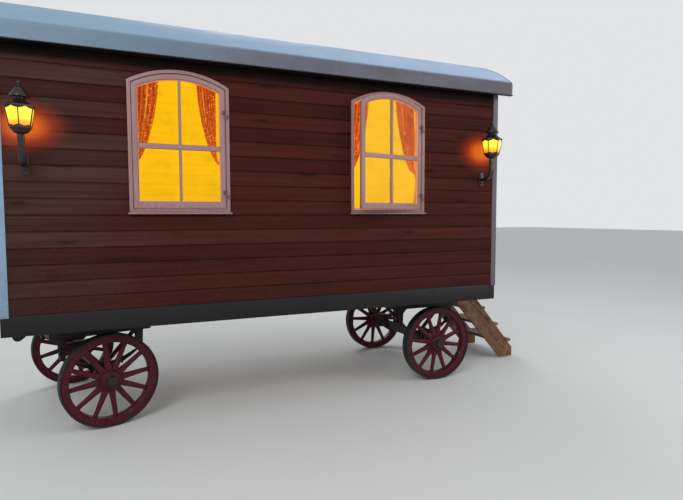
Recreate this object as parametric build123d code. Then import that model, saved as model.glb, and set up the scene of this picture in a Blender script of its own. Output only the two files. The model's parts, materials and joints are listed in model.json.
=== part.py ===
from build123d import *
import os
from math import atan2, cos, degrees, radians, sin, sqrt, tan

# Shepherd hut: a boarded cabin under a barrel roof, on a steel frame with a fixed rear axle and a
# front axle that steers on a turntable. Millimetres. +X runs from the towed end to the door end,
# +Z is up, and the near wall with two windows faces -Y. Sizes are set along X from the cabin's
# middle, and SHIFT_X then puts the origin on the ground below the centre of the whole box.

# Cabin walls
BOARD_COVER = 125.0
BOARD_COUNT = 16
GROOVE = 9.0
GROOVE_DEPTH = 10.0
END_TO_WINDOW = 850.0
WINDOW_W = 800.0
WINDOW_GAP = 1140.0
CORNER_W = 60.0
CORNER_DROP = 15.0
TRIM_PROUD = 8.0
BODY_W = 2100.0
WALL_T = 90.0
BOARD_Z = 1050.0
FLOOR_T = 55.0

# Barrel roof
ROOF_OVER_SIDE = 100.0
ROOF_OVER_END = 110.0
ROOF_T = 60.0
SKIRT_T = 35.0
SKIRT_GAP = 0.0
SKIRT_H = 125.0
ROOF_RISE = 400.0
ROOF_EDGE_R = 45.0
GABLE_BOARDS = 3
FASCIA_T = 25.0
FASCIA_H = 150.0
DRIP_T = 8.0
DRIP_PROUD = 8.0

# Windows
WINDOW_SILL = 770.0
WINDOW_H = 1150.0
WINDOW_RISE = 110.0
FRAME_FACE = 27.0
FRAME_PROUD = 12.0
FRAME_DEPTH = 70.0
STOP_W = 20.0
STOP_T = 18.0
SASH_GAP = 8.0
SASH_T = 40.0
SASH_SET = 7.0
SASH_STOP_GAP = 5.0
STILE = 45.0
RAIL = 60.0
BAR_W = 22.0
CROSS_BAR = 42.0
CROSS_BAR_Z = 534.0
GLASS_T = 6.0
SEAT = 0.3
SASH_OPEN = 11.0
HINGE_LOW = 150.0
HINGE_HIGH = 330.0
FAR_WINDOW = 1

# Curtains behind the windows
CURTAIN_T = 30.0
CURTAIN_OFF = 25.0
CURTAIN_HALF = WINDOW_W / 2 + 20.0
CURTAIN_TOP = 30.0
CURTAIN_DROP = 90.0
CURTAIN_TIE_Z = 480.0
# Width of one curtain and its height above the tie, from the top down to the tie
CURTAIN_WIDTHS = ((345.0, None), (250.0, 260.0), (70.0, 0.0))
CURTAIN_TAIL_W = 120.0
ROD_R = 9.0
ROD_END = 40.0
ROD_BRACKET_W = 16.0
ROD_BRACKET_OUT = 25.0

# Doorway and door
DOOR_W = 760.0
DOOR_H = 1830.0
DOOR_FRAME = 45.0
DOOR_GAP = 7.0
DOOR_T = 45.0
DOOR_SET = 6.0
DOOR_PANE_W = 420.0
DOOR_PANE_H = 620.0
DOOR_PANE_TOP = 150.0
DOOR_BAR = 24.0
DOOR_BOARDS = 6
DOOR_GROOVE = 6.0
DOOR_RAIL = 90.0
DOOR_HINGES = (220.0, 0.5 * DOOR_H, DOOR_H - 260.0)
KNOB_Z = 880.0
KNOB_IN = 60.0
# Radius and reach from the door's face
KNOB_PROFILE = ((28, 0), (28, 6), (11, 10), (11, 34), (24, 44), (27, 56), (20, 68))

# Hinges of the casements and of the door
PIN_R = 4.0
KNUCKLE_R = 8.0
KNUCKLE_H = 36.0
PIN_CLEAR = 0.1
LEAF_T = 4.0

# Wall lanterns
LANTERN_IN = 145.0
LANTERN_OUT = 165.0
LANTERN_Z = 1440.0
LANTERN_TOP_R = 100.0
LANTERN_BASE_R = 74.0
LANTERN_H = 140.0
LANTERN_STEM = 255.0
LANTERN_BEND = 90.0
BRACKET_W = 34.0
BRACKET_T = 26.0
PLATE_W = 54.0
PLATE_H = 150.0
PLATE_T = 10.0
# Radius over the corners and height above the glass, then the same for the cup below the glass
HOOD_PROFILE = ((LANTERN_TOP_R + 4, 0), (LANTERN_TOP_R + 4, 8), (60, 30), (42, 54))
VENT_PROFILE = (
    (38, 50), (36, 66), (66, 66), (66, 76), (54, 96), (30, 132), (13, 146), (9, 156), (16, 166), (5, 188))
CUP_PROFILE = ((22, -52), (50, -40), (LANTERN_BASE_R + 4, -8), (LANTERN_BASE_R + 4, 0))

# Chassis
SILL_H = 160.0
SILL_W = 70.0
SILL_WEB = 12.0
SILL_IN = 10.0
CROSS_W = 60.0
CROSS_PITCH = 600.0
AXLE_IN = 546.0
BOLSTER_X = 230.0

# Wheels and carriages
WHEEL_D = 796.0
TRACK = 1500.0
TYRE_T = 14.0
TYRE_W = 100.0
FELLOE_H = 60.0
FELLOE_W = 84.0
SPOKE_COUNT = 12
SPOKE_ROOT = (54.0, 48.0)
SPOKE_TAPER = 8.0
SPOKE_LET_IN = 16.0
NAVE_BELLY = 34.0
NAVE_R = 88.0
NAVE_END_R = 66.0
NAVE_L = 190.0
CAP_R = 46.0
CAP_L = 34.0
SPINDLE_R = 25.0
RUN_CLEAR = 0.1
NAVE_CLEAR = 6.0
SPINDLE_END = 4.0
AXLE_S = 80.0
STEER_REST = 14.0
RING_R = 430.0
RING_W = 70.0
RING_T = 12.0
RING_GAP = 0.5
TURNTABLE_DROP = 35.0
FRAME_S = 80.0
FRAME_HALF_X = 420.0
FRAME_HALF_Y = 500.0
KINGPIN_R = 22.0
KINGPIN_END = 30.0
LEAF_COUNT = 5
LEAF_STEP = 0.17
LEAF_H = 9.0
LEAF_W = 60.0
SPRING_HALF = 320.0
SPRING_CAMBER = 105.0
EYE_R = 22.0
EYE_PIN_R = 8.0
EAR_T = 12.0
BOLT_R = 7.0
CLAMP_T = 12.0
STAY_S = 34.0
STAY_Y = 300.0

# Drawbar bracket
TOW_REACH = 592.0
TOW_Z = 726.0
TOW_SLOPE = 38.0
TOW_EAR_R = 42.0
TOW_EAR_T = 22.0
TOW_EAR_IN = 50.0
TOW_PIN_R = 13.0
TOW_WEB_T = 14.0

# Steps at the door end
STEP_COUNT = 4
STEP_RISE = 220.0
STEP_GOING = 205.0
STEP_DEPTH = 230.0
STEP_W = 760.0
STEP_T = 32.0
STRINGER_T = 34.0
STRINGER_H = 170.0
STEP_CLEAR = 12.0
HOOK_W = 40.0
HOOK_T = 20.0
HOOK_H = 60.0
STRINGER_FOOT = 110.0
STRINGER_HEAD = 20.0
TREAD_BACK = 4.0

# Worked out from the sizes above
BOARD_L = 2 * END_TO_WINDOW + 2 * WINDOW_W + WINDOW_GAP
HALF_X = BOARD_L / 2
BODY_HALF = HALF_X + CORNER_W
HALF_Y = BODY_W / 2
INNER_Y = HALF_Y - WALL_T
END_FACE = BODY_HALF - TRIM_PROUD
END_IN = END_FACE - WALL_T
BOARD_TOP = BOARD_Z + BOARD_COUNT * BOARD_COVER
FLOOR_TOP = BOARD_Z + FLOOR_T
WINDOW_X = (WINDOW_GAP + WINDOW_W) / 2
SILL_Z = BOARD_Z + WINDOW_SILL
WINDOW_R = ((WINDOW_W / 2) ** 2 + WINDOW_RISE ** 2) / (2 * WINDOW_RISE)
WINDOW_CZ = SILL_Z + WINDOW_H - WINDOW_R
# The casement lies behind the frame's face, and its pin stands in front of it
FRAME_Y = HALF_Y + FRAME_PROUD
SASH_Y = FRAME_Y - SASH_SET
SASH_PIN = (WINDOW_W / 2 - FRAME_FACE - SASH_GAP / 2, -(FRAME_Y + KNUCKLE_R))
SASH_HINGE_Z = (SILL_Z + HINGE_LOW, SILL_Z + WINDOW_H - HINGE_HIGH)
EAVE_HALF = HALF_Y + ROOF_OVER_SIDE
EAVE_Z = BOARD_TOP + SKIRT_GAP
ROOF_SPRING = EAVE_Z + SKIRT_H
ROOF_R = (EAVE_HALF ** 2 + ROOF_RISE ** 2) / (2 * ROOF_RISE)
ROOF_CZ = ROOF_SPRING + ROOF_RISE - ROOF_R
ROOF_HALF = BODY_HALF + ROOF_OVER_END
WHEEL_R = WHEEL_D / 2
SILL_BOTTOM = BOARD_Z - SILL_H
RING_TOP = SILL_BOTTOM - TURNTABLE_DROP
FRAME_TOP = RING_TOP - 2 * RING_T - RING_GAP
FRAME_BOTTOM = FRAME_TOP - FRAME_S
SPRING_SEAT = WHEEL_R + AXLE_S / 2
SPRING_TOP = SPRING_SEAT + LEAF_COUNT * LEAF_H
SPRING_R = (SPRING_HALF ** 2 + SPRING_CAMBER ** 2) / (2 * SPRING_CAMBER)
EYE_Z = SPRING_TOP + SPRING_CAMBER - LEAF_H / 2
KINGPIN_X = -(BODY_HALF - AXLE_IN)
REAR_AXLE_X = -KINGPIN_X
STEP_TOP = FLOOR_TOP - STEP_RISE
STEP_REACH = BODY_HALF + (STEP_COUNT - 1) * STEP_GOING + STEP_DEPTH
SHIFT_X = (ROOF_HALF - STEP_REACH) / 2


def block(x0, x1, y0, y1, z0, z1):
    """A box between two corners."""
    middle = ((x0 + x1) / 2, (y0 + y1) / 2, (z0 + z1) / 2)
    return Pos(*middle) * Box(abs(x1 - x0), abs(y1 - y0), abs(z1 - z0))


def along_x(face, x0, x1):
    """A Y-Z outline carried from x0 to x1."""
    return extrude(Pos(x0, 0, 0) * (Plane.YZ * face), amount=x1 - x0)


def along_y(face, y0, y1):
    """An X-Z outline carried from y0 to y1."""
    return extrude(Pos(0, y1, 0) * (Plane.XZ * face), amount=y1 - y0)


def rod_y(x, z, radius, y0, y1):
    """A round bar along Y."""
    return Pos(x, (y0 + y1) / 2, z) * Rot(90, 0, 0) * Cylinder(radius, abs(y1 - y0))


def rod_z(x, y, radius, z0, z1):
    """A round bar along Z."""
    return Pos(x, y, (z0 + z1) / 2) * Cylinder(radius, abs(z1 - z0))


def frustum(section, height, inward):
    """A flat section carried up by height, its flat sides leaning inwards by inward over that height."""
    return extrude(section, amount=height, taper=degrees(atan2(inward, height)))


def bar_y(x, z, radius, y0, y1, sides=8):
    """A many-sided bar along Y, radius over its corners."""
    return along_y(Pos(x, z) * RegularPolygon(radius, sides), min(y0, y1), max(y0, y1))


def faceted(sides, table):
    """A many-sided turned form about Z, from a table of (radius over the corners, height) in rising
    order. Where two heights are equal the form steps from one radius to the other."""
    apothem = cos(radians(180 / sides))
    form = None
    for (low_r, low), (high_r, high) in zip(table, table[1:]):
        if high > low:
            level = Pos(0, 0, low) * frustum(RegularPolygon(low_r, sides), high - low, (low_r - high_r) * apothem)
            form = level if form is None else form + level
    return form


def turned(shape, x, y, angle):
    """The shape turned about an upright axis through x, y."""
    return Pos(x, y, 0) * Rot(0, 0, angle) * Pos(-x, -y, 0) * shape


def roof_arc_z(y, inset):
    """Height of the barrel at y, where inset is the depth below its outer face."""
    return ROOF_CZ + sqrt((ROOF_R - inset) ** 2 - y ** 2)


def barrel(half, inset, bottom):
    """Y-Z outline under the barrel's curve: upright sides from bottom, and the arc on top."""
    spring = roof_arc_z(half, inset)
    sides = Polyline((-half, spring), (-half, bottom), (half, bottom), (half, spring))
    top = ThreePointArc((half, spring), (0, ROOF_CZ + ROOF_R - inset), (-half, spring))
    return make_face(sides + top)


def roof_outline():
    """Y-Z outline of the roof's outside, with its two long edges rounded over."""
    face = barrel(EAVE_HALF, 0, EAVE_Z)
    return fillet([corner for corner in face.vertices() if corner.Y > EAVE_Z + 1], ROOF_EDGE_R)


def arch(inset, bottom_inset):
    """X-Z outline of a window, moved in from its outer edge by inset."""
    half = WINDOW_W / 2 - inset
    radius = WINDOW_R - inset
    spring = WINDOW_CZ + sqrt(radius ** 2 - half ** 2)
    low = SILL_Z + bottom_inset
    sides = Polyline((-half, spring), (-half, low), (half, low), (half, spring))
    top = ThreePointArc((half, spring), (0, WINDOW_CZ + radius), (-half, spring))
    return make_face(sides + top)


def board_outline(outer, inner):
    """Y-Z section of a boarded side wall at the +Y side, up to the roof's inner face."""
    points = [(inner, roof_arc_z(inner, ROOF_T) - SEAT), (inner, BOARD_Z)]
    for board in range(BOARD_COUNT):
        low = BOARD_Z + board * BOARD_COVER
        high = low + BOARD_COVER
        points += [(outer, low), (outer, high - GROOVE)]
        points += [(outer - GROOVE_DEPTH, high - GROOVE), (outer - GROOVE_DEPTH, high)]
    points += [(outer, BOARD_TOP), (outer, roof_arc_z(outer, ROOF_T) - SEAT)]
    return make_face(Polyline(*points, close=True))


def side_wall(side, windows):
    """One long wall, side is -1 for the near one, with a window cut at each X given."""
    wall = along_x(board_outline(HALF_Y, INNER_Y), -HALF_X, HALF_X)
    for x in windows:
        hole = along_y(arch(-SEAT, -SEAT), INNER_Y - WALL_T, HALF_Y + WALL_T)
        wall -= Pos(x, 0, 0) * hole
    return wall if side > 0 else mirror(wall, Plane.XZ)


def end_wall(side, doorway):
    """One gable wall, side is -1 for the towed end, with the doorway cut out of it or not."""
    wall = along_x(barrel(INNER_Y, ROOF_T + SEAT, BOARD_Z), END_IN, END_FACE)
    for board in range(BOARD_COUNT + GABLE_BOARDS):
        high = BOARD_Z + (board + 1) * BOARD_COVER
        wall -= block(END_FACE - GROOVE_DEPTH, END_FACE + GROOVE, -HALF_Y, HALF_Y, high - GROOVE, high)
    if doorway:
        half = DOOR_W / 2 + DOOR_FRAME
        high = FLOOR_TOP + DOOR_H + DOOR_FRAME
        wall -= block(END_IN - GROOVE, END_FACE + GROOVE, -half, half, FLOOR_TOP, high)
    return wall if side > 0 else mirror(wall, Plane.YZ)


def corner_posts():
    """Four corner boards, a little proud of the boarding on both faces."""
    outer = HALF_Y + TRIM_PROUD
    lip = HALF_Y - SILL_IN + SEAT
    points = [(INNER_Y, BOARD_Z), (lip, BOARD_Z), (lip, BOARD_Z - CORNER_DROP), (outer, BOARD_Z - CORNER_DROP)]
    points += [(outer, roof_arc_z(outer, ROOF_T) - SEAT), (INNER_Y, roof_arc_z(INNER_Y, ROOF_T) - SEAT)]
    post = along_x(make_face(Polyline(*points, close=True)), HALF_X, BODY_HALF)
    pair = [post, mirror(post, Plane.XZ)]
    return Compound(pair + [mirror(one, Plane.YZ) for one in pair])


def roof_shell():
    """The barrel with its two hanging skirts, open below."""
    length = ROOF_HALF - FASCIA_T
    outer = along_x(roof_outline(), -length, length)
    inner = along_x(barrel(EAVE_HALF - SKIRT_T, ROOF_T, EAVE_Z - SKIRT_T), -length - ROOF_T, length + ROOF_T)
    return outer - inner


def gable_fascias():
    """A curved board closing each end of the roof."""
    board = roof_outline() - barrel(EAVE_HALF - SKIRT_T, FASCIA_H, EAVE_Z - SKIRT_T)
    end = along_x(board, ROOF_HALF - FASCIA_T, ROOF_HALF)
    return Compound([end, mirror(end, Plane.YZ)])


def drip_edges():
    """A thin strip under each skirt."""
    strips = []
    for side in (-1, 1):
        y_in, y_out = EAVE_HALF - SKIRT_T, EAVE_HALF + DRIP_PROUD
        strips.append(block(-ROOF_HALF, ROOF_HALF, side * y_in, side * y_out, EAVE_Z - DRIP_T, EAVE_Z))
    return Compound(strips)


def hinge(fixed_y, moving_y, fixed_reach, moving_reach):
    """A loose-pin hinge about an upright pin at 0, 0. The fixed leaf reaches +X and its seat is at
    fixed_y, the moving leaf reaches -X and its seat is at moving_y."""
    fixed = faceted(8, ((KNUCKLE_R, -KNUCKLE_H), (KNUCKLE_R, 0), (PIN_R, 0), (PIN_R, KNUCKLE_H)))
    fixed += block(0, fixed_reach, -LEAF_T / 2, LEAF_T / 2, -KNUCKLE_H, 0)
    fixed += block(fixed_reach - LEAF_T, fixed_reach, -LEAF_T / 2, fixed_y, -KNUCKLE_H, 0)
    low = 2 * SEAT
    moving = faceted(8, ((KNUCKLE_R, low), (KNUCKLE_R, KNUCKLE_H)))
    bore = (PIN_R + PIN_CLEAR) / cos(radians(180 / 8))
    moving -= faceted(8, ((bore, -1), (bore, KNUCKLE_H + 1)))
    arm = block(-moving_reach, -PIN_R - 1, -LEAF_T / 2, LEAF_T / 2, low, KNUCKLE_H)
    arm += block(-moving_reach, -moving_reach + LEAF_T, -LEAF_T / 2, moving_y, low, KNUCKLE_H)
    return fixed, moving + arm


def window_parts():
    """Frame, casement and panes of one near-side window about X 0, closed."""
    back = FRAME_Y - FRAME_DEPTH
    stop_y = SASH_Y - SASH_T - SASH_STOP_GAP
    frame = along_y(arch(0, 0) - arch(FRAME_FACE, FRAME_FACE), back, FRAME_Y)
    frame += along_y(arch(0, 0) - arch(FRAME_FACE + STOP_W, FRAME_FACE + STOP_W), stop_y - STOP_T, stop_y)
    inset = FRAME_FACE + SASH_GAP
    hole = arch(inset + STILE, inset + RAIL)
    bar_z = SILL_Z + CROSS_BAR_Z
    bars = Pos(0, bar_z) * Rectangle(WINDOW_W, CROSS_BAR) + Pos(0, SILL_Z) * Rectangle(BAR_W, 3 * WINDOW_H)
    sash = along_y(arch(inset, inset) - hole + (bars & hole), SASH_Y - SASH_T, SASH_Y)
    gap_bars = Pos(0, bar_z) * Rectangle(WINDOW_W, CROSS_BAR + 2 * SEAT)
    gap_bars += Pos(0, SILL_Z) * Rectangle(BAR_W + 2 * SEAT, 3 * WINDOW_H)
    panes = arch(inset + STILE + SEAT, inset + RAIL + SEAT) - gap_bars
    middle = SASH_Y - SASH_T / 2
    glass = along_y(panes, middle - GLASS_T / 2, middle + GLASS_T / 2)
    frame, sash, glass = (mirror(shape, Plane.XZ) for shape in (frame, sash, glass))
    pin_x, pin_y = SASH_PIN
    reach = SASH_GAP / 2 + FRAME_FACE / 2
    for z in SASH_HINGE_Z:
        fixed, moving = hinge(-FRAME_Y - pin_y, -SASH_Y - pin_y, reach, reach)
        frame += Pos(pin_x, pin_y, z) * fixed
        sash += Pos(pin_x, pin_y, z) * moving
    return frame, sash, glass


def curtain_pair():
    """Two curtains of one near-side window about X 0, drawn aside and tied, with their rod."""
    top = SILL_Z + WINDOW_H + CURTAIN_TOP
    tie = SILL_Z + CURTAIN_TIE_Z
    low = SILL_Z - CURTAIN_DROP
    front = -(INNER_Y - CURTAIN_OFF)
    points = [(-CURTAIN_HALF, low), (-CURTAIN_HALF, top)]
    for width, above in CURTAIN_WIDTHS:
        points.append((width - CURTAIN_HALF, top if above is None else tie + above))
    points.append((CURTAIN_TAIL_W - CURTAIN_HALF, low))
    left = along_y(make_face(Polyline(*points, close=True)), front, front + CURTAIN_T)
    reach = CURTAIN_HALF + ROD_END
    rod = faceted(8, ((ROD_R, -reach), (ROD_R, reach)))
    rod = Pos(0, front + CURTAIN_T / 2, top + ROD_R + SEAT) * Rot(0, 90, 0) * rod
    brackets = []
    for side in (-1, 1):
        x = side * (CURTAIN_HALF + ROD_BRACKET_OUT)
        half = ROD_BRACKET_W / 2
        brackets.append(block(x - half, x + half, -INNER_Y, front + CURTAIN_T / 2, top + SEAT, top + 2 * ROD_R))
    return [left, mirror(left, Plane.YZ)], rod + brackets


def door_parts():
    """Door frame, boarded door with panes, glass and knob, closed, about the +X end wall."""
    low, high = FLOOR_TOP, FLOOR_TOP + DOOR_H
    half = DOOR_W / 2
    face = END_FACE + TRIM_PROUD
    frame = block(END_IN, face, -half - DOOR_FRAME, half + DOOR_FRAME, low, high + DOOR_FRAME)
    frame -= block(END_IN - 1, face + 1, -half, half, low - 1, high)
    outer = face - DOOR_SET
    inner = outer - DOOR_T
    leaf = block(inner, outer, -half + DOOR_GAP, half - DOOR_GAP, low + DOOR_GAP, high - DOOR_GAP)
    pane_top = high - DOOR_PANE_TOP
    pane_low = pane_top - DOOR_PANE_H
    pane = block(inner - 1, outer + 1, -DOOR_PANE_W / 2, DOOR_PANE_W / 2, pane_low, pane_top)
    middle_z = (pane_top + pane_low) / 2
    bar, pane_half = DOOR_BAR / 2, DOOR_PANE_W / 2
    bars = block(inner, outer, -bar, bar, pane_low, pane_top)
    bars += block(inner, outer, -pane_half, pane_half, middle_z - bar, middle_z + bar)
    leaf = leaf - pane + bars
    board = (DOOR_W - 2 * DOOR_GAP) / DOOR_BOARDS
    for index in range(1, DOOR_BOARDS):
        y = -half + DOOR_GAP + index * board
        groove = DOOR_GROOVE / 2
        leaf -= block(outer - DOOR_GROOVE, outer + 1, y - groove, y + groove, low, pane_low - DOOR_RAIL)
    back = (inner + outer - GLASS_T) / 2
    glass_half = pane_half - SEAT
    glass = block(back, back + GLASS_T, -glass_half, glass_half, pane_low + SEAT, pane_top - SEAT)
    gap = bar + SEAT
    glass -= block(inner, outer, -gap, gap, pane_low, pane_top)
    glass -= block(inner, outer, -half, half, middle_z - gap, middle_z + gap)
    knob_y = -half + DOOR_GAP + KNOB_IN
    knob = faceted(8, [(radius, SEAT + reach) for radius, reach in KNOB_PROFILE])
    knob = Pos(outer, knob_y, low + KNOB_Z) * Rot(0, 90, 0) * knob
    pin = (face + KNUCKLE_R, half - DOOR_GAP / 2)
    reach = DOOR_GAP / 2 + DOOR_FRAME / 2
    for height in DOOR_HINGES:
        fixed, moving = hinge(KNUCKLE_R, KNUCKLE_R + DOOR_SET, reach, reach)
        frame += Pos(pin[0], pin[1], low + height) * Rot(0, 0, 90) * fixed
        leaf += Pos(pin[0], pin[1], low + height) * Rot(0, 0, 90) * moving
    return frame, leaf, glass, knob


def bend_points(y, z, inside):
    """Three points of the quarter bend about y, z that leaves the wall and turns up, at a radius."""
    slant = inside * sqrt(0.5)
    return (y - inside, z), (y - slant, z - slant), (y, z - inside)


def lantern(x):
    """Cap, bracket with cup, and glass of one near-side wall lantern at x, a corner to the front."""
    y = -(HALF_Y + LANTERN_OUT)
    low = BOARD_Z + LANTERN_Z - LANTERN_H / 2
    high = low + LANTERN_H
    place = Pos(x, y, 0) * Rot(0, 0, 30)
    glass = place * faceted(6, ((LANTERN_BASE_R, low), (LANTERN_TOP_R, high)))
    hood = place * faceted(6, [(radius, high + SEAT + height) for radius, height in HOOD_PROFILE])
    vent = place * faceted(8, [(radius, high + SEAT + height) for radius, height in VENT_PROFILE])
    cup = place * faceted(6, [(radius, low - SEAT + height) for radius, height in CUP_PROFILE])
    foot = low - LANTERN_STEM
    stem_top = low + CUP_PROFILE[0][1] - SEAT
    centre = (y + LANTERN_BEND, foot + LANTERN_BEND)
    inner = bend_points(*centre, LANTERN_BEND - BRACKET_T / 2)
    outer = bend_points(*centre, LANTERN_BEND + BRACKET_T / 2)
    wall = -HALF_Y - PLATE_T / 2
    outline = Polyline(outer[0], (outer[0][0], stem_top), (inner[0][0], stem_top), inner[0])
    outline += ThreePointArc(*inner)
    outline += Polyline(inner[2], (wall, inner[2][1]), (wall, outer[2][1]), outer[2])
    outline += ThreePointArc(*reversed(outer))
    arm = along_x(make_face(outline), x - BRACKET_W / 2, x + BRACKET_W / 2)
    half_w, half_h = PLATE_W / 2, PLATE_H / 2
    plate = block(x - half_w, x + half_w, -HALF_Y - PLATE_T, -HALF_Y - SEAT, foot - half_h, foot + half_h)
    return hood + vent, cup + arm + plate, glass


def leaf_spring(y):
    """One pack of curved leaves over the axle at y, with rolled eyes at both ends."""
    centre_z = SPRING_TOP + SPRING_R
    pack = None
    for index in range(LEAF_COUNT):
        inner = SPRING_R + index * LEAF_H
        outer = inner + LEAF_H
        reach = SPRING_HALF * (1 - LEAF_STEP * index)
        swing = atan2(reach, sqrt(SPRING_R ** 2 - reach ** 2))
        a = (inner * sin(swing), centre_z - inner * cos(swing))
        b = (outer * sin(swing), centre_z - outer * cos(swing))
        inside = ThreePointArc((-a[0], a[1]), (0, centre_z - inner), a)
        outside = ThreePointArc(b, (0, centre_z - outer), (-b[0], b[1]))
        strip = make_face(inside + Line(a, b) + outside + Line((-b[0], b[1]), (-a[0], a[1])))
        leaf = along_y(strip, y - LEAF_W / 2, y + LEAF_W / 2)
        pack = leaf if pack is None else pack + leaf
    for end in (-1, 1):
        pack += bar_y(end * SPRING_HALF, EYE_Z, EYE_R, y - LEAF_W / 2, y + LEAF_W / 2)
    for end in (-1, 1):
        pack -= bar_y(end * SPRING_HALF, EYE_Z, EYE_PIN_R + SEAT, y - LEAF_W, y + LEAF_W)
    return pack


def carriage_frame():
    """Rails, cross bars and spring ears over one axle at the origin."""
    half_x, half_y = FRAME_HALF_X, FRAME_HALF_Y
    frame = None
    for side in (-1, 1):
        y = side * half_y
        rail = block(-half_x, half_x, y - FRAME_S / 2, y + FRAME_S / 2, FRAME_BOTTOM, FRAME_TOP)
        frame = rail if frame is None else frame + rail
        for end in (-1, 1):
            x = end * SPRING_HALF
            for ear in (-1, 1):
                inner = y + ear * (LEAF_W / 2 + SEAT)
                outer = inner + ear * EAR_T
                frame += block(x - EYE_R, x + EYE_R, inner, outer, EYE_Z, FRAME_BOTTOM)
                frame += bar_y(x, EYE_Z, EYE_R, inner, outer)
            reach = LEAF_W / 2 + SEAT + EAR_T
            frame += bar_y(x, EYE_Z, EYE_PIN_R, y - reach, y + reach)
    for x in (-half_x + FRAME_S / 2, 0, half_x - FRAME_S / 2):
        frame += block(x - FRAME_S / 2, x + FRAME_S / 2, -half_y, half_y, FRAME_BOTTOM, FRAME_TOP)
    return frame


def axle():
    """Square beam with a round spindle at each end."""
    beam_half = TRACK / 2 - NAVE_L / 2 - NAVE_CLEAR
    beam = block(-AXLE_S / 2, AXLE_S / 2, -beam_half, beam_half, WHEEL_R - AXLE_S / 2, WHEEL_R + AXLE_S / 2)
    tip = TRACK / 2 + NAVE_L / 2 - CAP_L
    return beam + rod_y(0, WHEEL_R, SPINDLE_R, -tip, tip)


def spring_clamps():
    """Plates above and below, and four bolts, that hold each spring down on the axle."""
    parts = []
    half_x = AXLE_S / 2 + 2 * BOLT_R
    half_y = LEAF_W / 2 + 2 * BOLT_R + SEAT
    top = SPRING_TOP + SPRING_R - sqrt(SPRING_R ** 2 - half_x ** 2) + SEAT
    bottom = WHEEL_R - AXLE_S / 2 - SEAT
    for side in (-1, 1):
        y = side * FRAME_HALF_Y
        clamp = block(-half_x, half_x, y - half_y, y + half_y, top, top + CLAMP_T)
        clamp += block(-half_x, half_x, y - half_y, y + half_y, bottom - CLAMP_T, bottom)
        for end in (-1, 1):
            for row in (-1, 1):
                bolt = faceted(6, ((BOLT_R, bottom - CLAMP_T), (BOLT_R, top + CLAMP_T + BOLT_R)))
                clamp += Pos(end * (half_x - BOLT_R), y + row * (half_y - BOLT_R), 0) * bolt
        parts.append(clamp)
    return parts


def axle_stays():
    """Raking stays from the carriage's end bars down to the axle."""
    stays = []
    x_top = FRAME_HALF_X - FRAME_S / 2
    x_low = AXLE_S / 2 + STAY_S / 2
    for side in (-1, 1):
        for end in (-1, 1):
            y = side * STAY_Y
            run, rise = x_top - x_low, FRAME_BOTTOM - WHEEL_R
            length = sqrt(run ** 2 + rise ** 2)
            slope = degrees(atan2(run, rise))
            middle = Pos(end * (x_top + x_low) / 2, y, (FRAME_BOTTOM + WHEEL_R) / 2)
            bar = middle * Rot(0, end * slope, 0) * Box(STAY_S, STAY_S, length + 2 * STAY_S)
            clear = block(-2 * FRAME_HALF_X, 2 * FRAME_HALF_X, y - STAY_S, y + STAY_S, FRAME_BOTTOM, RING_TOP)
            clear += block(-AXLE_S / 2, AXLE_S / 2, y - STAY_S, y + STAY_S, 0, SPRING_SEAT)
            stays.append(bar - clear)
    return stays


def ring(low):
    """One turntable plate about the origin, from low upwards."""
    return rod_z(0, 0, RING_R, low, low + RING_T) - rod_z(0, 0, RING_R - RING_W, low - 1, low + RING_T + 1)


def tow_bracket():
    """Two cranked arms from the carriage's front bar down to a round eye for the drawbar pin."""
    start = -FRAME_HALF_X - SEAT
    slope = radians(TOW_SLOPE)
    over = (-TOW_REACH - sin(slope) * TOW_EAR_R, TOW_Z + cos(slope) * TOW_EAR_R)
    under = (-TOW_REACH + sin(slope) * TOW_EAR_R, TOW_Z - cos(slope) * TOW_EAR_R)
    points = [(start, FRAME_BOTTOM), (start, FRAME_TOP)]
    points += [(over[0] + (FRAME_TOP - over[1]) / tan(slope), FRAME_TOP), over, under]
    points += [(under[0] + (FRAME_BOTTOM - under[1]) / tan(slope), FRAME_BOTTOM)]
    outline = make_face(Polyline(*points, close=True))
    arms = []
    for side in (-1, 1):
        y0, y1 = side * TOW_EAR_IN, side * (TOW_EAR_IN + TOW_EAR_T)
        arm = along_y(outline, min(y0, y1), max(y0, y1)) + rod_y(-TOW_REACH, TOW_Z, TOW_EAR_R, y0, y1)
        arms.append(arm - rod_y(-TOW_REACH, TOW_Z, TOW_PIN_R, y0 - side, y1 + side))
    web = block(start - TOW_WEB_T, start, -TOW_EAR_IN, TOW_EAR_IN, FRAME_BOTTOM, FRAME_TOP)
    return arms[0] + arms[1] + web


def wheel_wood(phase):
    """Nave, tapered spokes and felloes of one wheel about its axle, the hub cap at the -Y side.
    phase is the first spoke's angle from +X towards +Z."""
    outer = WHEEL_R - TYRE_T
    inner = outer - FELLOE_H
    half = NAVE_L / 2
    nave = Rot(0, 0, 180 / SPOKE_COUNT) * faceted(SPOKE_COUNT, (
        (NAVE_END_R, -half), (NAVE_R, -NAVE_BELLY), (NAVE_R, NAVE_BELLY), (NAVE_END_R, half - CAP_L)))
    cap = Rot(0, 0, 180 / SPOKE_COUNT) * faceted(SPOKE_COUNT, ((CAP_R, half - CAP_L), (CAP_R, half)))
    felloes = Cylinder(outer, FELLOE_W) - Cylinder(inner, FELLOE_W)
    root, length = NAVE_R - SPOKE_LET_IN, inner + 2 * SEAT - NAVE_R + SPOKE_LET_IN
    spoke = Pos(root, 0, 0) * Rot(0, 90, 0) * frustum(Rectangle(*SPOKE_ROOT), length, SPOKE_TAPER)
    wheel = nave + cap + felloes
    wheel += [Rot(0, 0, index * 360 / SPOKE_COUNT) * spoke for index in range(SPOKE_COUNT)]
    wheel -= rod_z(0, 0, SPINDLE_R + RUN_CLEAR, -half - 1, half - CAP_L + SPINDLE_END)
    return Rot(90, 0, 0) * Rot(0, 0, phase) * wheel


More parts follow.
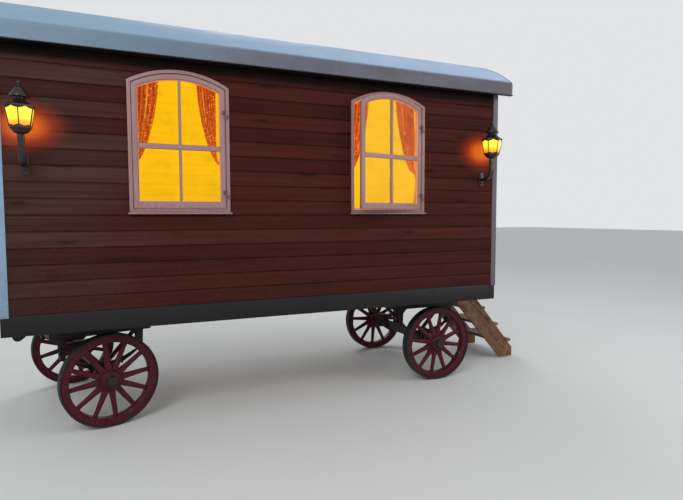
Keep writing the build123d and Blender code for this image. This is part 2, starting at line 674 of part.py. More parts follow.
def wheel_tyre():
    """Flat band round the felloes."""
    band = Cylinder(WHEEL_R, TYRE_W) - Cylinder(WHEEL_R - TYRE_T + SEAT, TYRE_W)
    return Rot(90, 0, 0) * band


def steps():
    """Hook-on steps: two stringers, the treads let in between them, and two hooks."""
    half = STEP_W / 2
    top_x = BODY_HALF
    low_x = STEP_REACH
    high = STEP_TOP + STRINGER_HEAD
    points = [(top_x + SEAT, high), (top_x + STEP_DEPTH * 0.75, high), (low_x, STEP_CLEAR + STRINGER_FOOT)]
    points += [(low_x, STEP_CLEAR), (low_x - STEP_DEPTH * 0.8, STEP_CLEAR), (top_x + SEAT, high - STRINGER_H)]
    outline = make_face(Polyline(*points, close=True))
    parts = None
    for side in (-1, 1):
        y = side * (half - STRINGER_T / 2)
        stringer = along_y(outline, y - STRINGER_T / 2, y + STRINGER_T / 2)
        stringer += block(
            top_x + SEAT, top_x + HOOK_T, y - HOOK_W / 2, y + HOOK_W / 2, high - HOOK_H, high + HOOK_H)
        parts = stringer if parts is None else parts + stringer
    inner = half - STRINGER_T / 2
    for index in range(STEP_COUNT):
        z = STEP_TOP - index * STEP_RISE
        x = top_x + index * STEP_GOING
        parts += block(x + TREAD_BACK, x + STEP_DEPTH, -inner, inner, z - STEP_T, z)
    return parts


nodes = {}

# Chassis, floor and shell
channel = Polyline(
    (HALF_Y - SILL_IN, SILL_BOTTOM), (HALF_Y - SILL_IN, BOARD_Z), (HALF_Y - SILL_IN - SILL_W, BOARD_Z),
    (HALF_Y - SILL_IN - SILL_W, BOARD_Z - SILL_WEB), (HALF_Y - SILL_IN - SILL_WEB, BOARD_Z - SILL_WEB),
    (HALF_Y - SILL_IN - SILL_WEB, SILL_BOTTOM + SILL_WEB), (HALF_Y - SILL_IN - SILL_W, SILL_BOTTOM + SILL_WEB),
    (HALF_Y - SILL_IN - SILL_W, SILL_BOTTOM), close=True)
sill = along_x(make_face(channel), -BODY_HALF, BODY_HALF)
nodes["chassis_side_sills"] = Compound([sill, mirror(sill, Plane.XZ)])
cross_half = HALF_Y - SILL_IN - SILL_W
cross_half_x = [CROSS_PITCH, REAR_AXLE_X - BOLSTER_X, REAR_AXLE_X + BOLSTER_X, BODY_HALF - CROSS_W / 2]
cross_x = [0, *cross_half_x, *(-x for x in cross_half_x)]
nodes["chassis_cross_members"] = Compound([
    block(x - CROSS_W / 2, x + CROSS_W / 2, -cross_half, cross_half, SILL_BOTTOM, BOARD_Z) for x in cross_x])
nodes["cabin_floor"] = block(-END_IN, END_IN, -INNER_Y, INNER_Y, BOARD_Z, FLOOR_TOP)
window_centres = (-WINDOW_X, WINDOW_X)
nodes["wall_near"] = side_wall(-1, window_centres)
nodes["wall_far"] = side_wall(1, window_centres[FAR_WINDOW:])
nodes["wall_front"] = end_wall(-1, False)
nodes["wall_door_end"] = end_wall(1, True)
nodes["corner_posts"] = corner_posts()
nodes["roof_shell"] = roof_shell()
nodes["roof_end_fascias"] = gable_fascias()
nodes["roof_drip_edges"] = drip_edges()

# Windows: near front, near rear, far rear. The near rear casement stands open.
frame_part, sash_part, glass_part = window_parts()
curtain_part, rod_part = curtain_pair()
frames, curtains, rods = [], [], []
windows = (
    ("near_front", -WINDOW_X, False, 0.0),
    ("near_rear", WINDOW_X, False, SASH_OPEN),
    ("far_rear", WINDOW_X, True, 0.0),
)
for name, x, far, opened in windows:
    group = [frame_part, turned(sash_part, *SASH_PIN, opened), turned(glass_part, *SASH_PIN, opened)]
    group += [*curtain_part, rod_part]
    group = [Pos(x, 0, 0) * (mirror(shape, Plane.XZ) if far else shape) for shape in group]
    frames.append(group[0])
    nodes["casement_" + name] = group[1]
    nodes["casement_glass_" + name] = group[2]
    curtains += group[3:5]
    rods.append(group[5])
nodes["window_frames"] = Compound(frames)
nodes["curtains"] = Compound(curtains)
nodes["curtain_rods"] = Compound(rods)

# Door end
frame_part, leaf_part, pane_part, knob_part = door_parts()
nodes["door_frame"] = frame_part
nodes["door_leaf"] = leaf_part
nodes["door_glass"] = pane_part
nodes["door_knob"] = knob_part
nodes["entrance_steps"] = steps()

# Lanterns on both long walls
lantern_metal, lantern_glass = [], []
for x in (-HALF_X + LANTERN_IN, HALF_X - LANTERN_IN):
    cap, body, glass = lantern(x)
    for far in (False, True):
        group = [mirror(shape, Plane.XZ) if far else shape for shape in (cap, body, glass)]
        lantern_metal += group[:2]
        lantern_glass.append(group[2])
nodes["lantern_metal"] = Compound(lantern_metal)
nodes["lantern_glass"] = Compound(lantern_glass)

# Running gear: the same carriage front and rear, the front one on the turntable
upper = ring(RING_TOP - RING_T) + block(
    -BOLSTER_X - CROSS_W / 2, BOLSTER_X + CROSS_W / 2, -RING_R, RING_R, RING_TOP, SILL_BOTTOM)
upper += rod_z(0, 0, KINGPIN_R, FRAME_BOTTOM - KINGPIN_END, SILL_BOTTOM)
nodes["turntable_upper_and_kingpin"] = Pos(KINGPIN_X, 0, 0) * upper
frame = carriage_frame()
springs = [leaf_spring(-FRAME_HALF_Y), leaf_spring(FRAME_HALF_Y)]
front_set = {
    "front_turntable_frame": (frame + ring(FRAME_TOP)) - rod_z(0, 0, KINGPIN_R + RUN_CLEAR, 0, BOARD_Z),
    "front_leaf_springs": Compound(springs),
    "front_axle": axle(),
    "front_spring_clamps": Compound(spring_clamps()),
    "front_axle_stays": Compound(axle_stays()),
    "drawbar_bracket": tow_bracket(),
}
for name, shape in front_set.items():
    nodes[name] = Pos(KINGPIN_X, 0, 0) * Rot(0, 0, STEER_REST) * shape
packing = [block(-FRAME_HALF_X, FRAME_HALF_X, y - FRAME_S / 2, y + FRAME_S / 2, FRAME_TOP, SILL_BOTTOM)
           for y in (-FRAME_HALF_Y, FRAME_HALF_Y)]
rear_set = {
    "rear_axle_frame": frame + packing,
    "rear_leaf_springs": Compound(springs),
    "rear_axle": axle(),
    "rear_spring_clamps": Compound(spring_clamps()),
    "rear_axle_stays": Compound(axle_stays()),
}
for name, shape in rear_set.items():
    nodes[name] = Pos(REAR_AXLE_X, 0, 0) * shape

# Wheels
tyre = wheel_tyre()
# Name, X of the axle, turn of the axle, side, first spoke's angle
wheels = (
    ("front_near", KINGPIN_X, STEER_REST, -1, 6.6),
    ("front_far", KINGPIN_X, STEER_REST, 1, -13.0),
    ("rear_near", REAR_AXLE_X, 0.0, -1, 20.0),
    ("rear_far", REAR_AXLE_X, 0.0, 1, 4.0),
)
for name, x, turn, side, phase in wheels:
    for kind, shape in (("wheel", wheel_wood(phase)), ("tyre", tyre)):
        faced = shape if side < 0 else Rot(0, 0, 180) * shape
        nodes[f"{kind}_{name}"] = Pos(x, 0, 0) * Rot(0, 0, turn) * Pos(0, side * TRACK / 2, WHEEL_R) * faced

os.makedirs("parts", exist_ok=True)
for name, shape in nodes.items():
    export_step(Pos(SHIFT_X, 0, 0) * shape, f"parts/{name}.step")
print(len(nodes), "nodes, origin shift", SHIFT_X)
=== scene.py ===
"""Shepherd hut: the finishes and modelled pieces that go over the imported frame.

Sizes are in metres and the same as in the part's source. Along X they are measured from the middle
of the cabin, and HutPlan.shift_x then moves every piece to the frame's origin. +Z is up, the towed
end is at -X and the near wall, with two windows, faces -Y.
"""

import json
import logging
import math
from dataclasses import dataclass, replace
from enum import Enum
from typing import Callable, ClassVar, Sequence

import bmesh
import bpy
import numpy as np
from mathutils import Matrix, Vector

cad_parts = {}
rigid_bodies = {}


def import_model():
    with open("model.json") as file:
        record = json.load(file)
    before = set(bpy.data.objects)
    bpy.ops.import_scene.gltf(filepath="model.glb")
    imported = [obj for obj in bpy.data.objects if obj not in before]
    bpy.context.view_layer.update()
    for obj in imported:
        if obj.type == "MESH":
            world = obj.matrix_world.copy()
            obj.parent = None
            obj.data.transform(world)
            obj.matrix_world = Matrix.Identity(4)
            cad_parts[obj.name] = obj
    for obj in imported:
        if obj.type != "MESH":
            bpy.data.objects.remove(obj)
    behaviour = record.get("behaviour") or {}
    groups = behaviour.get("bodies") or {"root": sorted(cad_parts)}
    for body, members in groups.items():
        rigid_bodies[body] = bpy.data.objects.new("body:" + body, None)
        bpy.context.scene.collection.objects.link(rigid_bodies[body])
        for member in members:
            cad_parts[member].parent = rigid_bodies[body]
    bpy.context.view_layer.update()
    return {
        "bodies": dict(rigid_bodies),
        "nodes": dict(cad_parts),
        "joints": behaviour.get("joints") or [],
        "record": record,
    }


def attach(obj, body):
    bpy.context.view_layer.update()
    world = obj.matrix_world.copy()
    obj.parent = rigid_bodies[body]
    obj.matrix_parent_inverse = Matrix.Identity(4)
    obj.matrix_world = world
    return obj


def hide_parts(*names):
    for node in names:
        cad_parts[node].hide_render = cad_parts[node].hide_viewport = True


LOG = logging.getLogger("shepherd_hut")
Bound = Callable[[np.ndarray], np.ndarray]
Span = tuple[Bound, Bound]
Colour = tuple[int, int, int]
Socket = bpy.types.NodeSocket
BOTH = (-1, 1)


@dataclass(frozen=True)
class HutPlan:
    """Main sizes of the hut in metres, the same as in the part's source."""

    shift_x: float = -0.3675
    half_x: float = 2.22
    body_half: float = 2.28
    half_y: float = 1.05
    inner_y: float = 0.96
    end_face: float = 2.272
    end_in: float = 2.182
    board_z: float = 1.05
    board_cover: float = 0.125
    board_count: int = 16
    floor_top: float = 1.105
    eave_half: float = 1.15
    eave_z: float = 3.05
    skirt_h: float = 0.125
    skirt_t: float = 0.035
    roof_rise: float = 0.40
    roof_t: float = 0.06
    roof_half: float = 2.39
    roof_edge: float = 0.045
    fascia_t: float = 0.025
    fascia_h: float = 0.15
    window_x: float = 0.97
    sill_z: float = 1.82
    window_h: float = 1.15
    window_half: float = 0.40
    window_rise: float = 0.11
    kingpin_x: float = -1.734
    rear_axle_x: float = 1.734
    steer: float = math.radians(14.0)
    wheel_r: float = 0.398
    half_track: float = 0.75
    lantern_x: float = 2.075
    lantern_low: float = 2.42
    lantern_high: float = 2.56

    @property
    def window_r(self) -> float:
        """Radius of the windows' arch."""
        return (self.window_half**2 + self.window_rise**2) / (2 * self.window_rise)

    @property
    def window_top(self) -> float:
        """Height of the windows' crown."""
        return self.sill_z + self.window_h

    @property
    def window_cz(self) -> float:
        """Height of the arch's centre."""
        return self.window_top - self.window_r

    @property
    def roof_r(self) -> float:
        """Outer radius of the barrel roof."""
        return (self.eave_half**2 + self.roof_rise**2) / (2 * self.roof_rise)

    @property
    def roof_cz(self) -> float:
        """Height of the barrel's centre."""
        return self.eave_z + self.skirt_h + self.roof_rise - self.roof_r

    def roof_z(self, y: float) -> float:
        """Height of the barrel's inner face at y: its centre plus the root of radius squared less y squared."""
        return self.roof_cz + math.sqrt((self.roof_r - self.roof_t) ** 2 - y**2)

    def arch_half(self, z: np.ndarray, inset: float = 0.0) -> np.ndarray:
        """Half the width of a window opening.

        Below the spring it is the plain half width; above it, the root of the arch's radius squared
        less the height over its centre squared.

        Args:
            z: Heights.
            inset: How far the outline moves in.

        Returns:
            Half widths at those heights.
        """
        radius = self.window_r - inset
        rise = np.clip(z - self.window_cz, 0.0, radius)
        return np.minimum(self.window_half - inset, np.sqrt(radius**2 - rise**2))


PLAN = HutPlan()


class Caps(Enum):
    """How the two ends of a swept section are closed."""

    OPEN = "open"
    POLYGON = "polygon"
    PAIRS = "pairs"


class Side(Enum):
    """The two long sides of the hut, by the sign of Y."""

    NEAR = -1
    FAR = 1


class Axis(Enum):
    """The axis that a form is made along: where its two round coordinates (0, 1) and its long one (2) go."""

    X = (2, 0, 1)
    Y = (0, 2, 1)
    Z = (0, 1, 2)

    @property
    def along(self) -> int:
        """Number of the long coordinate."""
        return self.value.index(2)


class Skin:
    """Points, faces and surface data of one piece, gathered from grids."""

    def __init__(self) -> None:
        """Starts with no points."""
        self.points: list[np.ndarray] = []
        self.grain: list[np.ndarray] = []
        self.tone: list[np.ndarray] = []
        self.edge: list[np.ndarray] = []
        self.faces: list[list[int]] = []
        self.count = 0

    def grid(self, points: np.ndarray, wrap: bool = True, loop: bool = False, caps: Caps = Caps.POLYGON,
             grain: np.ndarray | None = None, tone: object = 0.5, edge: object = 0.0) -> "Skin":
        """Adds a grid of points, with quads between neighbours.

        Args:
            points: Points, shaped (rows, columns, 3). A row is one section of a sweep.
            wrap: Whether the last column joins the first.
            loop: Whether the last row joins the first.
            caps: How the first and last rows are closed.
            grain: Coordinates for the grain, along it first. The points when None.
            tone: Shade of the wood or cloth, 0 to 1.
            edge: How much each point lies on an edge that wears, 0 to 1.

        Returns:
            The skin itself.
        """
        rows, cols = points.shape[:2]
        index = np.arange(rows * cols).reshape(rows, cols) + self.count
        across = np.concatenate([index, index[:, :1]], axis=1) if wrap else index
        both = np.concatenate([across, across[:1]], axis=0) if loop else across
        quads = np.stack([both[:-1, :-1], both[:-1, 1:], both[1:, 1:], both[1:, :-1]], axis=-1)
        self.faces += quads.reshape(-1, 4).tolist()
        if caps is Caps.POLYGON and wrap and not loop:
            self.faces += [index[0, ::-1].tolist(), index[-1].tolist()]
        if caps is Caps.PAIRS and not loop:
            k = np.arange(cols // 2 - 1)
            pairs = np.stack([k, k + 1, cols - 2 - k, cols - 1 - k], axis=-1)
            self.faces += index[0][pairs].tolist() + index[-1][pairs[:, ::-1]].tolist()
        self.points.append(points.reshape(-1, 3))
        self.grain.append((points if grain is None else grain).reshape(-1, 3))
        for store, values in ((self.tone, tone), (self.edge, edge)):
            store.append(np.broadcast_to(np.asarray(values, float), (rows, cols)).reshape(-1))
        self.count += rows * cols
        return self

    def join(self, *others: "Skin") -> "Skin":
        """Adds other skins' grids.

        Args:
            others: The skins.

        Returns:
            The skin itself.
        """
        for other in others:
            self.points += other.points
            self.grain += other.grain
            self.tone += other.tone
            self.edge += other.edge
            self.faces += [[i + self.count for i in face] for face in other.faces]
            self.count += other.count
        return self


def coords(*parts: object) -> np.ndarray:
    """Coordinates side by side in a last axis, each spread to the shape of them all."""
    return np.stack(np.broadcast_arrays(*parts), axis=-1)


def unit(vectors: object) -> np.ndarray:
    """Vectors over their own length."""
    return np.asarray(vectors) / np.linalg.norm(vectors, axis=-1, keepdims=True)


def around(count: int) -> np.ndarray:
    """Even angles once round a circle."""
    return np.linspace(0, 2 * math.pi, count, endpoint=False)


def shifted(points: np.ndarray, x: float = 0.0, y: float = 0.0, z: float = 0.0) -> np.ndarray:
    """The points moved by x, y, z."""
    return points + np.array([x, y, z])


def spun(points: np.ndarray, angle: float, axes: tuple[int, int] = (0, 1),
         centre: Sequence[float] = (0.0, 0.0)) -> np.ndarray:
    """The points turned in a plane: its two coordinates less the centre, times cosine and sine.

    Args:
        points: Any number of points.
        angle: The turn.
        axes: Numbers of the plane's two coordinates.
        centre: Where the turn's middle lies in that plane.

    Returns:
        The turned points.
    """
    (a, b), cos, sin = axes, math.cos(angle), math.sin(angle)
    da, db = points[..., a] - centre[0], points[..., b] - centre[1]
    out = points.copy()
    out[..., a], out[..., b] = centre[0] + cos * da - sin * db, centre[1] + sin * da + cos * db
    return out


def shade(seed: int, low: float, high: float) -> float:
    """One piece's tone, drawn from its seed."""
    return float(np.random.default_rng(seed).uniform(low, high))


def ripple(u: np.ndarray, v: np.ndarray, seed: int, waves: int = 5) -> np.ndarray:
    """A soft unevenness: the mean of sine waves in u and v, with lengths and phases drawn from the seed.

    Args:
        u: First coordinate.
        v: Second coordinate.
        seed: Seed of the draws.
        waves: Number of waves.

    Returns:
        Values between about -1 and 1.
    """
    rng = np.random.default_rng(seed)
    total = np.zeros(np.broadcast(u, v).shape)
    for _ in range(waves):
        ku, kv, phase = rng.uniform(2, 9), rng.uniform(4, 20), rng.uniform(0, 6.28)
        total = total + np.sin(ku * u + kv * v + phase)
    return total / waves


def rounded(width: float, height: float, radius: float, steps: int = 4) -> tuple[np.ndarray, np.ndarray]:
    """A rectangle with rounded corners about 0, 0: each corner is its centre plus radius times cosine and sine.

    Args:
        width: First size.
        height: Second size.
        radius: Radius of the corners.
        steps: Points on each corner.

    Returns:
        The points, shaped (n, 2), and how much each lies on a corner, 0 to 1.
    """
    points, edge = [], []
    for k, (sx, sy) in enumerate(((1, 1), (-1, 1), (-1, -1), (1, -1))):
        angle = np.linspace(0, math.pi / 2, steps) + k * math.pi / 2
        cx, cy = sx * (width / 2 - radius), sy * (height / 2 - radius)
        points.append(coords(cx + radius * np.cos(angle), cy + radius * np.sin(angle)))
        edge.append(np.sin(np.linspace(0, math.pi, steps)) * 0.6 + 0.4)
    return np.concatenate(points), np.concatenate(edge)


def bar(start: Sequence[float], end: Sequence[float], width: float, height: float, radius: float,
        up: Sequence[float] = (0, 0, 1), stations: int = 8, tone: float = 0.5, seed: int = 0) -> Skin:
    """A straight bar with rounded corners: a rounded rectangle set square to the line from start to end.

    At each end, two sections that shrink by the radius round it off.

    Args:
        start: Middle of one end.
        end: Middle of the other end.
        width: Size across, square to up.
        height: Size along up.
        radius: Radius of the long edges.
        up: Direction of the height.
        stations: Sections along the bar.
        tone: Shade of this piece, 0 to 1.
        seed: Seed of the grain's offset.

    Returns:
        The bar's skin.
    """
    a, b = np.asarray(start, float), np.asarray(end, float)
    length = float(np.linalg.norm(b - a))
    along = (b - a) / length
    side = unit(np.cross(along, up))
    top = np.cross(side, along)
    ring, edge = rounded(width, height, radius)
    tip = [0, radius * 0.35]
    t = np.concatenate([tip, np.linspace(radius, length - radius, stations), length - np.array(tip[::-1])])
    lean = np.minimum(np.minimum(t, length - t) / radius, 1.0)[:, None]
    shrink = radius * (1 - np.sqrt(1 - (1 - lean) ** 2))
    across, upright = ring[:, 0] * (1 - 2 * shrink / width), ring[:, 1] * (1 - 2 * shrink / height)
    points = a + t[:, None, None] * along + across[..., None] * side + upright[..., None] * top
    shift = np.random.default_rng(seed).uniform(0, 20, 2)
    grain = coords(t[:, None] + shift[0], ring[:, 0], ring[:, 1] + shift[1])
    return Skin().grid(points, grain=grain, tone=tone, edge=np.maximum(edge, 1 - lean))


def beam(axis: Axis, span: Sequence[float], at: Sequence[float], width: float, height: float, radius: float,
         **more: object) -> Skin:
    """A bar along one axis. On an upright one, width is along X and height along Y.

    Args:
        axis: Its axis.
        span: Where it starts and ends on that axis.
        at: Its other two coordinates, in order.
        width: Size across.
        height: Size upwards.
        radius: Radius of the long edges.
        more: What else bar takes.

    Returns:
        The bar's skin.
    """
    start, end = (np.insert(np.asarray(at, float), axis.along, place) for place in span)
    return bar(start, end, width, height, radius, up=(0, 1, 0) if axis is Axis.Z else (0, 0, 1), **more)


def turned_form(profile: Sequence[tuple[float, float]], sides: int = 40, axis: Axis = Axis.Z, tone: float = 0.5,
                edge: object = 0.0, at: Sequence[float] = (0, 0, 0)) -> Skin:
    """A turned form: each radius and height of the profile goes round the axis as a circle.

    Args:
        profile: Radius and height along the axis, from one end to the other.
        sides: Points in each circle.
        axis: The form's axis.
        tone: Shade, 0 to 1.
        edge: How much each profile point lies on an edge.
        at: Where the profile's height 0 lies.

    Returns:
        The form's skin, closed at both ends.
    """
    table = np.asarray(profile, float)
    angle, r, h = around(sides), table[:, :1], table[:, 1:]
    points = coords(r * np.cos(angle), r * np.sin(angle), h)[..., axis.value] + np.asarray(at)
    wear = np.broadcast_to(np.asarray(edge, float), len(table))[:, None]
    return Skin().grid(points, grain=coords(h, angle * 0.1, r), tone=tone, edge=wear)


def both_ways(half: Sequence[tuple[float, float]], *middle: tuple[float, float]) -> list[tuple[float, float]]:
    """A profile, the points between, and the profile's mirror image over height 0."""
    return [*half, *middle, *((r, -h) for r, h in reversed(half))]


def hoop(radius: np.ndarray, height: np.ndarray, sides: int, axis: Axis = Axis.Z,
         at: Sequence[float] = (0, 0, 0)) -> Skin:
    """A closed section carried round an axis: each point's radius and height become a circle.

    Args:
        radius: Radius of each section point.
        height: Place of each section point along the axis.
        sides: Sections in the circle.
        axis: The hoop's axis.
        at: The hoop's middle.

    Returns:
        The hoop's skin.
    """
    angle = around(sides)[:, None]
    points = coords(radius * np.cos(angle), radius * np.sin(angle), height)[..., axis.value] + np.asarray(at)
    return Skin().grid(points, loop=True, caps=Caps.OPEN)


def tube(path: np.ndarray, radius: float, sides: int = 12) -> Skin:
    """A round bar along a path that never turns upright: circles square to the path's direction.

    Args:
        path: Points along its middle.
        radius: Its radius.
        sides: Points in each circle.

    Returns:
        The bar's skin, closed at both ends.
    """
    direction = unit(np.gradient(path, axis=0))
    side = unit(np.cross(direction, [0.0, 0.0, 1.0]))
    top = np.cross(side, direction)
    angle = around(sides)[None, :, None]
    return Skin().grid(path[:, None] + radius * (np.cos(angle) * side[:, None] + np.sin(angle) * top[:, None]))


def plate(outline: np.ndarray, low: float, high: float, radius: float,
          hole: tuple[float, float, float] | None = None, tone: float = 0.5) -> Skin:
    """A flat plate in X-Z with rounded edges, with a round hole or none.

    The outline is repeated at four levels through the thickness, drawn in towards its middle by the
    radius at the two faces. A hole is the same outline turned into a circle about the hole's centre.

    Args:
        outline: Points round the plate, shaped (n, 2).
        low: Lowest y.
        high: Highest y.
        radius: Rounding of the edges.
        hole: X, Z and radius of the hole.
        tone: Shade, 0 to 1.

    Returns:
        The plate's skin.
    """
    middle = outline.mean(axis=0) if hole is None else np.array(hole[:2])
    arm = outline - middle
    reach = np.linalg.norm(arm, axis=1, keepdims=True)
    inner = middle + arm * (1 - radius / reach)
    levels = [(inner, low, 0.9), (outline, low + radius, 0.3), (outline, high - radius, 0.3),
              (inner, high, 0.9)]
    if hole is not None:
        circle = middle + arm / reach * hole[2]
        levels += [(circle, high, 0.5), (circle, low, 0.5)]
    rows = np.stack([coords(p[:, 0], y, p[:, 1]) for p, y, _ in levels])
    return Skin().grid(rows, loop=hole is not None, tone=tone, edge=np.array([e for *_, e in levels])[:, None])


def studs(places: object, normal: Sequence[float], radius: float, height: float, sides: int = 8) -> Skin:
    """Domed heads of screws or bolts: circles of radius times cosine, at height times sine of a rising angle.

    Args:
        places: Middles of the heads on their face.
        normal: The face's normal.
        radius: Their radius.
        height: Their height.
        sides: Points in each circle.

    Returns:
        The heads' skin.
    """
    n = unit(np.asarray(normal, float))
    side = unit(np.cross(n, [0.3, 0.5, 0.81]))
    top = np.cross(n, side)
    rise = np.array([-0.4, 0.0, 0.6, 1.2, 1.5])[:, None, None]
    angle = around(sides)[:, None]
    head = radius * np.cos(rise) * (np.cos(angle) * side + np.sin(angle) * top) + height * np.sin(rise) * n
    skin = Skin()
    for place in np.atleast_2d(places):
        skin.grid(head + place, tone=0.3, edge=0.6)
    return skin


def arch_loop(inset: np.ndarray, bottom: np.ndarray, arc: int = 40, straight: int = 10) -> np.ndarray:
    """The windows' outline moved in by each inset, as a closed loop of X-Z points.

    The loop runs along the sill, up one side, round the arch as centre plus radius times sine and
    cosine, and down the other side. Loops of different insets match point by point.

    Args:
        inset: How far the sides and arch move in, one for each section point.
        bottom: How far the sill edge moves in, one for each section point.
        arc: Points round the arch.
        straight: Points along each straight side.

    Returns:
        Points shaped (loop, section, 2), about X 0.
    """
    half, radius = PLAN.window_half - inset, PLAN.window_r - inset
    spring = PLAN.window_cz + np.sqrt(radius**2 - half**2)
    low = PLAN.sill_z + bottom
    t = np.linspace(0, 1, straight, endpoint=False)[:, None]
    a = np.linspace(1, -1, arc)[:, None] * np.arcsin(half / radius)
    sill = coords(-half + 2 * half * t, low)
    right = coords(half, low + (spring - low) * t)
    top = coords(radius * np.sin(a), PLAN.window_cz + radius * np.cos(a))
    left = coords(-half, spring + (low - spring) * t)[1:]
    return np.concatenate([sill, right, top, left])


def arch_ring(section: object, tone: float = 0.5) -> Skin:
    """A moulding carried round a near window about X 0.

    Args:
        section: Inset, sill inset, y and edge share of each point of the closed section.
        tone: Shade, 0 to 1.

    Returns:
        The moulding's skin, a closed loop.
    """
    inset, bottom, y, edge = np.asarray(section, float).T
    loop = arch_loop(inset, bottom)
    grain = coords(np.linspace(0, 4, len(loop))[:, None], inset, -y)
    return Skin().grid(coords(loop[..., 0], -y, loop[..., 1]), loop=True, caps=Caps.OPEN, grain=grain,
                       tone=tone, edge=edge)


def smooth_ring(points: Sequence[tuple[float, float]], radius: float = 0.003) -> np.ndarray:
    """A moulding's section with each corner cut back twice.

    A corner becomes three points: radius before it, a point drawn a third of the way to its
    neighbours' middle, and radius after it.

    Args:
        points: Inset and y of each corner.
        radius: How far the corners are cut back.

    Returns:
        Rows of inset, inset, y and edge share.
    """
    corner = np.asarray(points, float)
    before, after = (radius * unit(np.roll(corner, step, axis=0) - corner) for step in (1, -1))
    flat = np.stack([corner + before, corner + (before + after) * 0.29, corner + after], axis=1).reshape(-1, 2)
    return coords(flat[:, 0], flat[:, 0], flat[:, 1], np.tile([0.3, 1.0, 0.3], len(corner)))


def rgb(red: int, green: int, blue: int) -> tuple[float, float, float, float]:
    """A colour written as the eye sees it, 0 to 255, carried to the linear values that nodes use.

    Args:
        red: Red level.
        green: Green level.
        blue: Blue level.

    Returns:
        Linear red, green and blue, and 1.
    """
    level = np.array([red, green, blue]) / 255
    linear = np.where(level <= 0.04045, level / 12.92, ((level + 0.055) / 1.055) ** 2.4)
    return (*linear.tolist(), 1.0)


class Graph:
    """A node tree that is being wired."""

    def __init__(self, tree: bpy.types.NodeTree) -> None:
        """Starts on a tree."""
        self.tree = tree

    def put(self, socket: Socket, value: object) -> None:
        """Links a socket, or sets its constant.

        Args:
            socket: The input.
            value: Another node's output, or the constant.
        """
        if isinstance(value, Socket):
            self.tree.links.new(value, socket)
        else:
            socket.default_value = value

    def add(self, kind: str, sockets: dict | None = None, **settings: object) -> bpy.types.Node:
        """Adds a node.

        Args:
            kind: The node's type.
            sockets: Its inputs by name or number.
            settings: Its properties.

        Returns:
            The node.
        """
        node = self.tree.nodes.new(kind)
        for name, value in settings.items():
            setattr(node, name, value)
        for key, value in (sockets or {}).items():
            self.put(node.inputs[key], value)
        return node

    def math(self, operation: str, a: object, b: object = 0.0, clamp: bool = False) -> Socket:
        """The result of one sum."""
        return self.add("ShaderNodeMath", {0: a, 1: b}, operation=operation, use_clamp=clamp).outputs[0]

    def times(self, a: object, b: object) -> Socket:
        """A product."""
        return self.math("MULTIPLY", a, b)

    def plus(self, a: object, b: object) -> Socket:
        """A total."""
        return self.math("ADD", a, b)

    def minus(self, a: object, b: object) -> Socket:
        """A difference."""
        return self.math("SUBTRACT", a, b)

    def mix(self, factor: object, a: object, b: object, blend: str = "MIX") -> Socket:
        """Two colours mixed; each is a socket or levels from 0 to 255."""
        a, b = (rgb(*colour) if isinstance(colour, tuple) else colour for colour in (a, b))
        return self.add("ShaderNodeMix", {0: factor, 6: a, 7: b}, data_type="RGBA", blend_type=blend).outputs[2]

    def coats(self, base: Socket, *coats: tuple[object, float, Colour]) -> Socket:
        """A colour under coats, each a mask, its share and its colour.

        Args:
            base: The colour beneath.
            coats: Mask, share and colour of each.

        Returns:
            The colour.
        """
        for mask, share, colour in coats:
            base = self.mix(self.times(mask, share), base, colour)
        return base

    def toned(self, value: object, colour: object) -> Socket:
        """A colour made lighter or darker by a factor."""
        return self.add("ShaderNodeHueSaturation", {"Value": value, "Color": colour}).outputs[0]

    def span(self, value: object, low: float, high: float, out_low: float = 0.0,
             out_high: float = 1.0) -> Socket:
        """A value carried smoothly from one range to another, and kept inside it."""
        sockets = {0: value, 1: low, 2: high, 3: out_low, 4: out_high}
        return self.add("ShaderNodeMapRange", sockets, interpolation_type="SMOOTHSTEP").outputs[0]

    def noise(self, vector: object, scale: float, detail: float = 4.0, roughness: float = 0.55) -> Socket:
        """The grey output of a noise texture."""
        sockets = {"Vector": vector, "Scale": scale, "Detail": detail, "Roughness": roughness}
        return self.add("ShaderNodeTexNoise", sockets).outputs[0]

    def stretch(self, vector: object, scale: Sequence[float]) -> Socket:
        """Coordinates stretched along each axis."""
        return self.add("ShaderNodeMapping", {"Vector": vector, "Scale": tuple(scale)}).outputs[0]

    def axes(self, vector: object) -> Sequence[Socket]:
        """The three coordinates of a vector."""
        return self.add("ShaderNodeSeparateXYZ", {0: vector}).outputs

    def place(self) -> Socket:
        """Object coordinates, in metres."""
        return self.add("ShaderNodeTexCoord").outputs["Object"]

    def attribute(self, name: str, output: str = "Fac") -> Socket:
        """The piece's own attribute of that name."""
        return self.add("ShaderNodeAttribute", attribute_name=name).outputs[output]

    def grain(self) -> Socket:
        """The piece's own coordinates, along its grain first."""
        return self.attribute("grain", "Vector")

    def effect(self, effect: "Effect", **sockets: object) -> Sequence[Socket]:
        """The outputs of a shared group, placed with a finish's own values."""
        return self.add("ShaderNodeGroup", sockets, node_tree=effect.tree()).outputs


